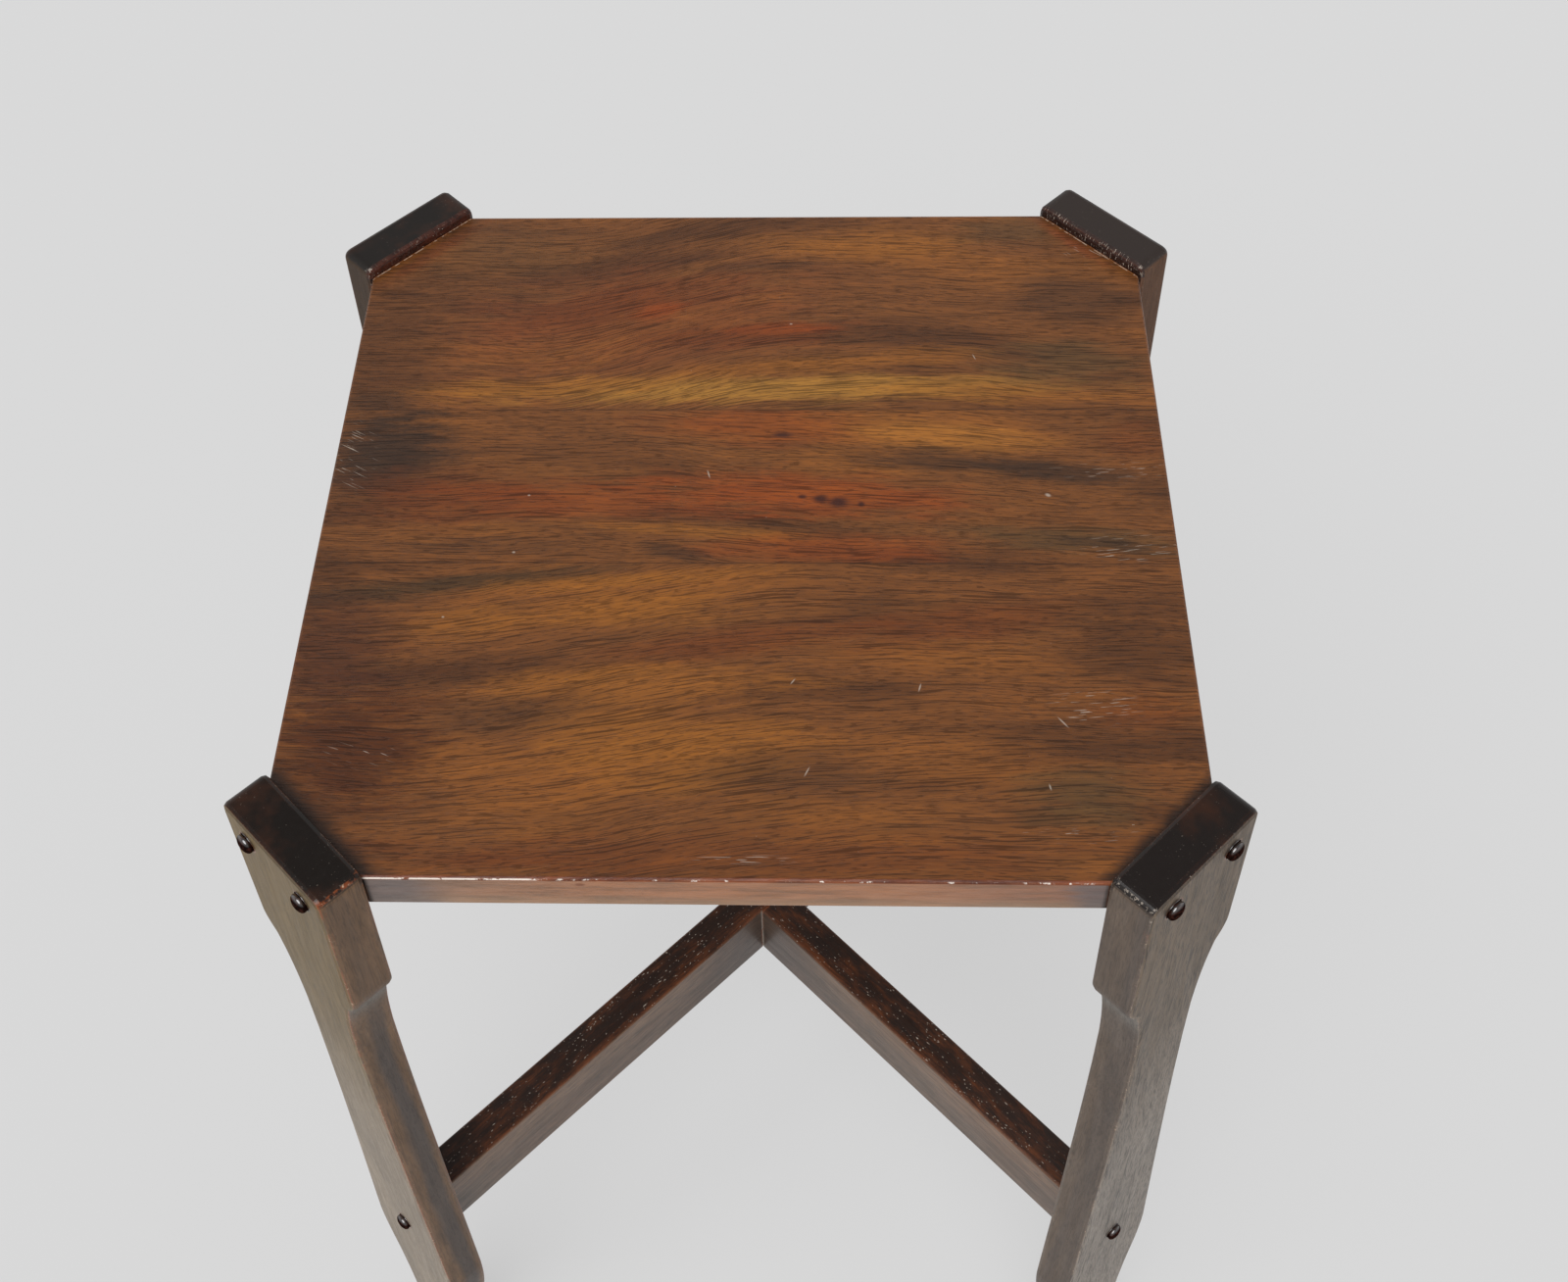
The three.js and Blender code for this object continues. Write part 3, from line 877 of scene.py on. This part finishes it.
def leg_face_tone(tree, place, figure):
    left = place["Left"]
    outward = place["Outward"]
    # Painted reflection: the grey sheen of the outer faces is part of their colour, lighter lower down.
    low = tree.fall(place["Height"], HEAD_Z - 320 * MM, HEAD_Z - 80 * MM)
    high_sheen_tone = tree.mix(left, OUTER_SHEEN_RIGHT_HIGH, OUTER_SHEEN_LEFT_HIGH)
    low_sheen_tone = tree.mix(left, OUTER_SHEEN_RIGHT_LOW, OUTER_SHEEN_LEFT_LOW)
    outer = tree.mix(low, high_sheen_tone, low_sheen_tone)
    outer = tree.shade(outer, tree.vary(figure["Bands"], 0.9, 1.12))
    side = leg_side_tone(tree, place, figure)
    colour = tree.paint(side, outer, tree.rise(tree.size(outward), 0.3, 0.9))
    colour = tree.paint(colour, INNER_BROWN, tree.fall(outward, -0.9, -0.5))
    # Painted shade: the back legs' side faces, and half of their outer faces, take a browner, mostly
    # darker tone.
    back_shade_tone = tree.mix(left, BACK_SHADE_RIGHT, BACK_SHADE_LEFT)
    not_inside = tree.times(place["Back"], tree.rise(outward, -0.9, -0.5))
    return tree.paint(colour, back_shade_tone, not_inside, tree.span(outward, 0.5, 0.9, 1.0, 0.5))


print("leg faces ready")

# %% [markdown]
# ### Heads and plug holes
#
# The end grain at the head drank the most stain and stayed nearly black, and so did the narrow inner
# rim that stands proud of the top. On the back legs that rim shows as a strip, reddish and scratched.
# Round each plug and in the angle above it the face is darker: partly dirt, partly painted shade of the
# plug and its hole.

# %% Stain the heads and dirty the plug holes
HEAD_LEFT = srgb(17, 8, 2)
HEAD_RIGHT = srgb(25, 17, 13)
HEAD_WARM = srgb(54, 28, 13)
HEAD_PALE = srgb(46, 36, 31)
STRIP_LEFT = srgb(70, 33, 22)
STRIP_RIGHT = srgb(46, 24, 18)
# How far each spot of dirt and painted shade lies aside of its plug and above it, and how dark it is
PLUG_GRIME_AND_SHADE = [(0.0, 0.0, 1.0), (-1.9 * MM, 2.7 * MM, 0.75)]


def proud_of_top(tree, place):
    """1 on the part of a leg that stands above the top's upper face."""
    return tree.rise(place["Height"], TOP_Z - 2 * MM, TOP_Z)


def head_masks(tree, place):
    """Where the dark stain of the head lies, and the strips on the inner rims of the back legs."""
    upper_end = tree.rise(place["Height"], HEAD_Z - 12 * MM, HEAD_Z - 6 * MM)
    head = tree.times(tree.rise(place["Upward"], 0.2, 0.6), upper_end)
    rim = tree.times(proud_of_top(tree, place), tree.fall(place["Outward"], -0.5, -0.2))
    return tree.most(head, rim), tree.times(rim, place["Back"])


def stain_head(tree, place, colour, dark, strip):
    left = place["Left"]
    cloud = tree.noise(place["Point"], 40.0, 3.0, 0.6)
    tone = tree.mix(left, HEAD_RIGHT, HEAD_LEFT)
    tone = tree.paint(tone, HEAD_WARM, tree.rise(cloud, 0.48, 0.75))
    tone = tree.paint(tone, HEAD_PALE, place["Back"], tree.invert(left))
    colour = tree.paint(colour, tone, dark)
    streaks = tree.noise(place["Point"], (500.0, 160.0, 160.0), 3.0, 0.7)
    strip_tone = tree.mix(left, STRIP_RIGHT, STRIP_LEFT)
    strip_tone = tree.shade(strip_tone, tree.span(streaks, 0.35, 0.6, 0.4, 1.2))
    return tree.paint(colour, strip_tone, strip)


def plug_grime_and_shade(tree, place):
    """Dirt and painted shade round each plug and in the angle above it, on the outer face alone."""
    here = tree.join(tree.split(place["Point"])[1], place["Height"], 0.0)
    plugs = [(PLUG_ASIDE, PLUG_MIDDLE.z), (-PLUG_ASIDE, PLUG_MIDDLE.z), (0.0, LOW_PLUG_Z)]
    rings = []
    for across, height in plugs:
        for shift, rise, weight in PLUG_GRIME_AND_SHADE:
            away = tree.vector("SUBTRACT", here, (across + shift, height + rise, 0.0))
            away = tree.vector("LENGTH", away)
            rings.append(tree.span(away, PLUG_RADIUS * 0.9, PLUG_RADIUS * 1.25, weight, 0.0))
    return tree.times(tree.most(*rings), outer_face(tree, place))


print("heads and plug holes ready")

# %% [markdown]
# ### Wear of a leg
#
# Below the heads the edges are rubbed through to orange wood on the left and to taupe on the right, with
# pale spots in the wear that are partly bare wood and partly painted highlights. At the heads they
# stayed dark with a few pale glints, which are painted highlights, apart from one end of the front left
# head, which is rubbed to orange. The upper ends of the legs are rounded too far for the bevel node to
# find them, so there the way the surface faces says where the turning is. Small dark chips sit on the
# edges of the front right leg's straight block.

# %% Wear the edges
BARE_ORANGE = srgb(166, 84, 38)
BARE_TAUPE = srgb(138, 118, 98)
PALE_WEAR_AND_GLINT = srgb(216, 186, 156)
CHIPPED = srgb(66, 32, 26)


def leg_corners(tree, place):
    """The head, its end towards the front, and on the back legs its end towards the side."""
    aside = tree.split(place["Point"])[1]
    at_head = tree.rise(place["Height"], HEAD_Z - 14 * MM, HEAD_Z - 8 * MM)
    front_end = tree.times(tree.invert(place["Back"]), tree.fall(aside, -34.5 * MM, -29 * MM))
    side_end = tree.times(place["Back"], tree.rise(aside, 29 * MM, 33.5 * MM))
    return at_head, front_end, tree.times(side_end, tree.fall(place["Depth"], 0.12, 0.3))


def worn_edges(tree, place, colour, wear, corners):
    """Bare wood along the edges, pale glints painted as highlights on the heads, and the chips of the
    front right leg.
    """
    point = place["Point"]
    left = place["Left"]
    height = place["Height"]
    at_head, front_end, side_end = corners
    right = tree.invert(left)
    turning = tree.size(tree.minus(place["Upward"], 0.72))
    turning = tree.times(tree.span(turning, 0.1, 0.2, 0.6, 0.0), at_head)
    rounded = tree.most(wear["Edge"], turning)
    rubbed = tree.plus(tree.noise(point, 240.0, 3.0, 0.6), tree.times(place["Depth"], 0.15))
    rubbed = tree.times(tree.rise(rubbed, 0.48, 0.64), front_end, at_head, left)
    usual = tree.times(wear["Worn"], tree.between(at_head, 0.75, 0.13))
    worn = tree.most(usual, tree.times(rounded, rubbed))
    below = tree.fall(height, HEAD_Z - 30 * MM, HEAD_Z - 10 * MM)
    bare = tree.mix(tree.times(right, below), BARE_ORANGE, BARE_TAUPE)
    colour = tree.paint(colour, bare, worn, 0.85)
    # Pale spots in the wear: partly bare wood, partly painted highlights.
    pale_and_glint_spots = tree.rise(tree.noise(point, 500.0, 2.0, 0.6), 0.60, 0.66)
    colour = tree.paint(colour, PALE_WEAR_AND_GLINT, worn, pale_and_glint_spots)
    # Painted highlights: pale glints along the rounded edges at the heads, most at their ends.
    limit = tree.between(tree.most(tree.times(front_end, right), side_end), 0.68, 0.55)
    head_highlights = tree.minus(tree.noise(point, 700.0, 2.0, 0.6), limit)
    colour = tree.paint(colour, PALE_MARK_AND_GLINT, tree.span(head_highlights, 0.0, 0.06, 0.0, 0.65), rounded, at_head)
    chips = tree.noise(point, (160.0, 420.0, 420.0), 3.0, 0.7)
    chips = tree.times(tree.rise(chips, 0.42, 0.50), wear["Edge"], tree.invert(place["Back"]), right)
    near_head = tree.rise(height, HEAD_Z - 120 * MM, HEAD_Z - 50 * MM)
    return tree.paint(colour, CHIPPED, chips, near_head, below, 0.8)


print("wear ready")

# %% [markdown]
# ### Leg material
#
# The faces come first, with their painted sheen and painted shade, then the stained heads, the dirt and
# painted shade round the plugs, the wear with its painted glints, the short pale strokes on the strips
# at the back, and last the pale specks on the proud inner faces. The back legs are duller, and the dark
# end grain is glossier. Only the edges carry a clear coat, where hands have polished them.

# %% Make the leg material
def leg_material():
    material, tree, shader = varnished("leg_wood", coat_roughness=0.25, specular=0.4)
    place = tree.use(LEG_PLACE)
    point = place["Point"]
    figure = tree.use(FIGURE, {"Point": point, "Seed": 0.4})
    right = tree.invert(place["Left"])
    colour = leg_face_tone(tree, place, figure)
    colour = tree.shade(colour, tree.vary(figure["Streaks"], 0.92, 1.08))
    colour = tree.shade(colour, tree.vary(figure["Fibres"], 0.93, 1.07, 0.25))
    polished = tree.times(right, outer_face(tree, place))
    colour = tree.paint(colour, NEAR_BLACK, figure["Pores"], tree.between(polished, 0.3, 0.65))
    dark, strip = head_masks(tree, place)
    colour = stain_head(tree, place, colour, dark, strip)
    # Dirt and painted shade round each plug and in the angle above it.
    colour = tree.paint(colour, NEAR_BLACK, plug_grime_and_shade(tree, place), 0.9)
    wear = tree.use(WEAR, {"Point": point, "Reach": 2.6 * MM, "Amount": 0.57})
    at_head, front_end, side_end = leg_corners(tree, place)
    colour = worn_edges(tree, place, colour, wear, (at_head, front_end, side_end))
    strokes = tree.rise(tree.noise(point, (260.0, 1700.0, 260.0), 2.0, 0.6), 0.61, 0.68)
    colour = tree.paint(colour, PALE_MARK_AND_GLINT, strokes, strip, tree.between(right, 0.12, 0.75))
    specks = tree.use(SPECKS, {"Point": point, "Amount": 0.85})["Specks"]
    inner = tree.span(place["Outward"], -0.8, -0.3, 1.0, 0.1)
    colour = tree.paint(colour, PALE_MARK_AND_GLINT, specks, proud_of_top(tree, place), inner)
    dull = tree.plus(tree.vary(figure["Streaks"], 0.52, 0.44), tree.times(place["Back"], 0.2))
    roughness = tree.minus(dull, tree.times(dark, 0.22))
    coat = tree.times(wear["Edge"], tree.between(at_head, 0.4, 0.06))
    height = tree.times(wood_relief(tree, figure), tree.invert(dark))
    finish(tree, shader, colour, roughness, coat, height, 0.5)
    return material


LEG_WOOD = leg_material()
print("leg material:", len(LEG_WOOD.node_tree.nodes), "nodes")

# %% [markdown]
# ## The stretchers
#
# The two bars have the legs' stain. Their upper faces are nearly black with red brown figure and gather
# pale specks, their sides have the legs' grey sheen painted into their colour as a painted reflection,
# warmer towards the upper edge, and their upper edges are rubbed to an orange line. Each has its own
# direction, so the material is made twice, with the grain turned along the bar. A pale line of old glue
# shows where the sides of the two bars meet.

# %% Make the stretcher materials
BAR_TOP = srgb(42, 23, 13)
BAR_TOP_RED = srgb(98, 52, 24)
BAR_SIDE = srgb(100, 78, 60)
BAR_SIDE_RED = srgb(108, 78, 56)
BAR_SIDE_TAN = srgb(130, 98, 70)
BAR_SIDE_DARK = srgb(72, 52, 40)
BAR_EDGE = srgb(146, 78, 40)
OLD_GLUE = srgb(206, 196, 184)


def bar_side_sheen_tone(tree, figure, from_middle, up):
    # Painted reflection: the taupe sheen of the sides is part of their colour.
    tone = tree.mix(tree.rise(figure["Bands"], 0.4, 0.7), BAR_SIDE, BAR_SIDE_RED)
    rim = tree.span(up, STRETCHER_TOP - 30 * MM, STRETCHER_TOP - 4 * MM, 0.0, 0.7)
    tone = tree.paint(tone, BAR_SIDE_TAN, rim)
    tone = tree.paint(tone, BAR_SIDE_DARK, tree.span(from_middle, 20 * MM, 90 * MM, 0.7, 0.0))
    return tree.shade(tone, tree.vary(figure["Streaks"], 0.82, 1.15))


def bar_top_tone(tree, figure, across):
    """Darkest on the far side of the bar, a little redder on the near one."""
    mottle = tree.noise(figure["Grain"], (30.0, 110.0, 110.0), 6.0, 0.75)
    near_side = tree.span(across, -11 * MM, 0.0, 0.14, 0.0)
    return tree.mix(tree.rise(tree.plus(mottle, near_side), 0.46, 0.72), BAR_TOP, BAR_TOP_RED)


def stretcher_material(name, angle, seed):
    material, tree, shader = varnished(name, coat_roughness=0.3, specular=0.4)
    point = tree.turn(tree.point(), -angle)
    figure = tree.use(FIGURE, {"Point": point, "Seed": seed})
    along, across, up = tree.split(point)
    from_middle = tree.size(along)
    flat = tree.rise(tree.size(tree.split(tree.facing())[2]), 0.3, 0.95)
    side_tone = bar_side_sheen_tone(tree, figure, from_middle, up)
    colour = tree.mix(flat, side_tone, bar_top_tone(tree, figure, across))
    colour = tree.shade(colour, tree.vary(figure["Fibres"], 0.85, 1.15))
    colour = tree.paint(colour, NEAR_BLACK, figure["Pores"], 0.5)
    to_joint = tree.size(tree.minus(from_middle, STRETCHER_THICKNESS / 2))
    glue = tree.span(to_joint, 0.4 * MM, 0.9 * MM, 0.6, 0.0)
    colour = tree.paint(colour, OLD_GLUE, glue, tree.fall(flat, 0.0, 0.5))
    wear = tree.use(WEAR, {"Point": point, "Reach": 2.2 * MM, "Amount": 0.58})
    colour = tree.paint(colour, BAR_EDGE, wear["Worn"], 0.8)
    stretched = tree.vector("MULTIPLY", point, (0.5, 1.4, 1.4))
    specks = tree.use(SPECKS, {"Point": stretched, "Amount": 0.95})["Specks"]
    colour = tree.paint(colour, PALE_MARK_AND_GLINT, specks, flat, 0.7)
    roughness = tree.vary(figure["Streaks"], 0.55, 0.42)
    coat = tree.between(flat, 0.35, 0.05)
    finish(tree, shader, colour, roughness, coat, wood_relief(tree, figure), 0.5)
    return material


BARS = {
    "stretcher_over": stretcher_material("stretcher_wood_over", math.radians(45), 1.7),
    "stretcher_under": stretcher_material("stretcher_wood_under", math.radians(-45), 5.3),
}
print("stretchers:", ", ".join(BARS))

# %% [markdown]
# ## Plugs and screws
#
# The plugs are small buttons of dark wood. Dusters keep their upper sides bright, and below they are
# dull, so their gloss follows the way the surface faces. The screws under them are plain steel with a
# fine mottle, and nobody sees them unless a leg comes off.

# %% Make the small materials
PLUG_DARK = srgb(22, 13, 11)
PLUG_BROWN = srgb(62, 34, 27)
STEEL_DARK = srgb(168, 167, 163)
STEEL_LIGHT = srgb(196, 195, 190)
LACQUER_IOR = 2.4


def plug_material():
    material, tree, shader = varnished("plug_wood", coat_roughness=0.12, specular=0.0)
    cloud = tree.noise(tree.point(), 700.0, 3.0, 0.6)
    colour = tree.mix(tree.rise(cloud, 0.4, 0.7), PLUG_DARK, PLUG_BROWN)
    upward = tree.split(tree.add("ShaderNodeNewGeometry").outputs["Normal"])[2]
    shader.inputs["Coat IOR"].default_value = LACQUER_IOR
    coat = tree.rise(upward, 0.4, 0.85)
    finish(tree, shader, colour, tree.vary(cloud, 0.3, 0.45), coat, cloud, 0.15)
    return material


def steel_material():
    material, tree, shader = varnished("screw_steel")
    marks = tree.noise(tree.point(), 2500.0, 2.0, 0.6)
    tree.feed(shader.inputs["Base Color"], tree.mix(tree.vary(marks), STEEL_DARK, STEEL_LIGHT))
    tree.feed(shader.inputs["Roughness"], tree.vary(marks, 0.3, 0.45))
    shader.inputs["Metallic"].default_value = 1.0
    return material


PLUG_WOOD = plug_material()
SCREW_STEEL = steel_material()
print("plug and screw materials ready")

# %% [markdown]
# ## Dressing the frame
#
# Every node gets the material of its wood, or of its steel, in all of its slots.

# %% Assign the materials
OWN_MATERIALS = {**BOARDS, **BARS}


def material_for(node):
    if node in OWN_MATERIALS:
        return OWN_MATERIALS[node]
    if node.startswith("leg_"):
        return LEG_WOOD
    return PLUG_WOOD if "_plug_" in node else SCREW_STEEL


DRESSED = {}
for node in NODES:
    material = material_for(node)
    for slot in bpy.data.objects[node].material_slots:
        slot.material = material
    DRESSED.setdefault(material.name, []).append(node)
print({name: len(nodes) for name, nodes in DRESSED.items()})

# %% [markdown]
# ## Fuller domes for the plugs
#
# In the photograph the plugs stand out like small buttons, and the light rolls over them. The solids
# have a flatter dome with flat facets. A turned shape is a profile swept round an axis, so each plug is
# turned again about its own axis, as deep in its hole as the solid, and replaces its node. Just above
# the leg's face its side rolls back to a neck, which leaves a dark line all round, and the dome stands
# further out than the solid's. Half a sphere would be simpler, but it meets the face without that line.

# %% Turn the plugs
SOLID_STANDS = 2.5 * MM
NECK_RADIUS = 4.1 * MM
NECK_DEPTH = 0.1 * MM
WIDEST_AT = 1.4 * MM
DOME_TIP = 3.8 * MM
NECK_RINGS = 4
DOME_RINGS = 8
PLUG_SIDES = 32
QUARTER_TURN = math.radians(90)


def in_scene(name, data):
    """A new object of the scene that holds a mesh, a lamp or a camera."""
    thing = bpy.data.objects.new(name, data)
    bpy.context.scene.collection.objects.link(thing)
    return thing


def plug_place(node):
    """The point on the leg's face in the middle of a plug, the way it faces, and its depth."""
    points = [vertex.co for vertex in bpy.data.objects[node].data.vertices]
    x, y = points[0][:2]
    outward = Vector((math.copysign(1.0, x), math.copysign(1.0, y), 0.0)).normalized()
    facing = (outward + Vector((0.0, 0.0, LEG_LEAN))).normalized()
    tip = max(points, key=facing.dot)
    face = tip - facing * SOLID_STANDS
    return face, facing, facing.dot(face) - min(facing.dot(point) for point in points)


def plug_profile(depth):
    """Radii and heights above the leg's face, from the plug's foot to the tip of its dome."""
    profile = [(0.0, -depth), (PLUG_RADIUS, -depth), (PLUG_RADIUS, -NECK_DEPTH)]
    for ring in range(NECK_RINGS):
        angle = QUARTER_TURN * ring / NECK_RINGS
        radius = NECK_RADIUS + (PLUG_RADIUS - NECK_RADIUS) * math.sin(angle)
        profile.append((radius, WIDEST_AT * (1 - math.cos(angle))))
    for ring in range(DOME_RINGS):
        angle = QUARTER_TURN * ring / DOME_RINGS
        height = WIDEST_AT + (DOME_TIP - WIDEST_AT) * math.sin(angle)
        profile.append((PLUG_RADIUS * math.cos(angle), height))
    return profile + [(0.0, DOME_TIP)]


def turn_plug(node):
    face, facing, depth = plug_place(node)
    side = facing.orthogonal().normalized()
    other = facing.cross(side)
    shape = bmesh.new()
    rings = []
    for radius, height in plug_profile(depth):
        turns = [math.tau * step / PLUG_SIDES for step in range(PLUG_SIDES if radius else 1)]
        ways = [side * math.cos(turn) + other * math.sin(turn) for turn in turns]
        rings.append([shape.verts.new(face + facing * height + way * radius) for way in ways])
    for lower, upper in zip(rings, rings[1:]):
        for step in range(PLUG_SIDES):
            after = step + 1
            corners = [lower[step % len(lower)], lower[after % len(lower)]]
            corners += [upper[after % len(upper)], upper[step % len(upper)]]
            shape.faces.new(dict.fromkeys(corners)).smooth = True
    mesh = bpy.data.meshes.new(node + "_domed")
    shape.to_mesh(mesh)
    shape.free()
    mesh.materials.append(PLUG_WOOD)
    plug = in_scene(node + "_domed", mesh)
    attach(plug, "root")
    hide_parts(node)
    return plug


PLUGS = [turn_plug(node) for node in NODES if "_plug_" in node]
print(len(PLUGS), "plugs turned, each with", len(PLUGS[0].data.polygons), "faces")

# %% [markdown]
# ## Floor, light and surroundings
#
# The table stands on a plain pale floor. A broad soft sun from above and the world share the light, at
# a level where a colour renders about as it is written. The surroundings are pale at eye level and
# dimmer overhead, like a studio with pale walls, which gives the upright faces their grey sheen and
# leaves the flat heads of the legs dark. Seen directly, the floor is mostly one plain pale grey, with a
# light share of the table's shadow. From below the floor is clear, so that the underside of the table
# can be looked at too.

# %% Build the stage
BACKDROP = srgb(216, 216, 216)
CEILING = (0.30, 0.30, 0.31, 1.0)
FLOOR_REACH = 12.0
FLOOR_PLAIN_SHARE = 0.72
FLOOR_PLAIN_STRENGTH = 1.04
SUN_STRENGTH = 1.9
SUN_SPREAD = math.radians(50)
SUN_TILT = (math.radians(28), math.radians(-14), 0.0)


def seen_directly(tree):
    """1 for what the camera sees, straight, in a mirror or through glass, and 0 for light."""
    path = tree.add("ShaderNodeLightPath").outputs
    return tree.most(path["Is Camera Ray"], path["Is Glossy Ray"], path["Is Transmission Ray"])


def make_floor():
    mesh = bpy.data.meshes.new("floor")
    reach = FLOOR_REACH
    corners = [(-reach, -reach, 0.0), (reach, -reach, 0.0), (reach, reach, 0.0), (-reach, reach, 0.0)]
    mesh.from_pydata(corners, [], [(0, 1, 2, 3)])
    floor = in_scene("floor", mesh)
    material = bpy.data.materials.new("floor_pale")
    tree = cleared_tree(material)
    lit = tree.add("ShaderNodeBsdfDiffuse", {"Color": BACKDROP}).outputs[0]
    glow = {"Color": BACKDROP, "Strength": FLOOR_PLAIN_STRENGTH}
    plain = tree.add("ShaderNodeEmission", glow).outputs[0]
    share = tree.times(seen_directly(tree), FLOOR_PLAIN_SHARE)
    mixed = tree.add("ShaderNodeMixShader", {0: share, 1: lit, 2: plain}).outputs[0]
    from_below = tree.add("ShaderNodeNewGeometry").outputs["Backfacing"]
    clear = tree.add("ShaderNodeBsdfTransparent").outputs[0]
    sided = tree.add("ShaderNodeMixShader", {0: from_below, 1: mixed, 2: clear}).outputs[0]
    tree.add("ShaderNodeOutputMaterial", {"Surface": sided})
    mesh.materials.append(material)
    return floor


def make_sun():
    lamp = bpy.data.lights.new("sun", "SUN")
    lamp.energy = SUN_STRENGTH
    lamp.angle = SUN_SPREAD
    sun = in_scene("sun", lamp)
    sun.rotation_euler = SUN_TILT
    return sun


def make_world():
    world = bpy.data.worlds.new("studio")
    bpy.context.scene.world = world
    tree = cleared_tree(world)
    height = tree.split(tree.add("ShaderNodeTexCoord").outputs["Generated"])[2]
    colour = tree.mix(tree.rise(height, 0.25, 0.85), BACKDROP, CEILING)
    background = tree.add("ShaderNodeBackground", {"Color": colour, "Strength": 1.0}).outputs[0]
    tree.add("ShaderNodeOutputWorld", {"Surface": background})
    return world


FLOOR = make_floor()
SUN = make_sun()
WORLD = make_world()
bpy.context.scene.view_settings.view_transform = "Standard"
print("stage:", FLOOR.name, "and", WORLD.name, "with a sun of", round(SUN.data.energy, 2))

# %% [markdown]
# ## The camera
#
# The photograph looks down at about fifty degrees from a little right of the middle, from close by.
# Its place, its direction and its focal length were worked out from the edges of the top and the legs,
# and are given here as sizes in the row's frame. The picture's middle isn't the lens's middle, because
# the photograph was cropped, and the shift makes up for that.

# %% Set the camera
IMAGE_WIDTH = 1600
IMAGE_HEIGHT = 1308
SENSOR_WIDTH = 36.0
FOCAL_PIXELS = 2035.0
LENS_MIDDLE = (761.4, 500.0)
CAMERA_PLACE = Vector((0.0349, -0.6095, TOP_Z + 0.7378))
CAMERA_RIGHT = Vector((0.99934, 0.02400, -0.02718))
CAMERA_DOWN = Vector((0.00095, -0.76661, -0.64211))
NEAREST = 20 * MM
FURTHEST = 60.0


def make_camera():
    data = bpy.data.cameras.new("camera")
    data.sensor_fit = "HORIZONTAL"
    data.sensor_width = SENSOR_WIDTH
    data.lens = FOCAL_PIXELS * SENSOR_WIDTH / IMAGE_WIDTH
    data.shift_x = (IMAGE_WIDTH / 2 - LENS_MIDDLE[0]) / IMAGE_WIDTH
    data.shift_y = (LENS_MIDDLE[1] - IMAGE_HEIGHT / 2) / IMAGE_WIDTH
    data.clip_start = NEAREST
    data.clip_end = FURTHEST
    camera = in_scene("camera", data)
    right = CAMERA_RIGHT.normalized()
    up = (-CAMERA_DOWN - right * right.dot(-CAMERA_DOWN)).normalized()
    turn = Matrix((right, up, right.cross(up))).transposed().to_4x4()
    camera.matrix_world = Matrix.Translation(CAMERA_PLACE) @ turn
    bpy.context.scene.camera = camera
    return data


CAMERA = make_camera()
print("lens", round(CAMERA.lens, 2), "shift", round(CAMERA.shift_x, 4), round(CAMERA.shift_y, 4))
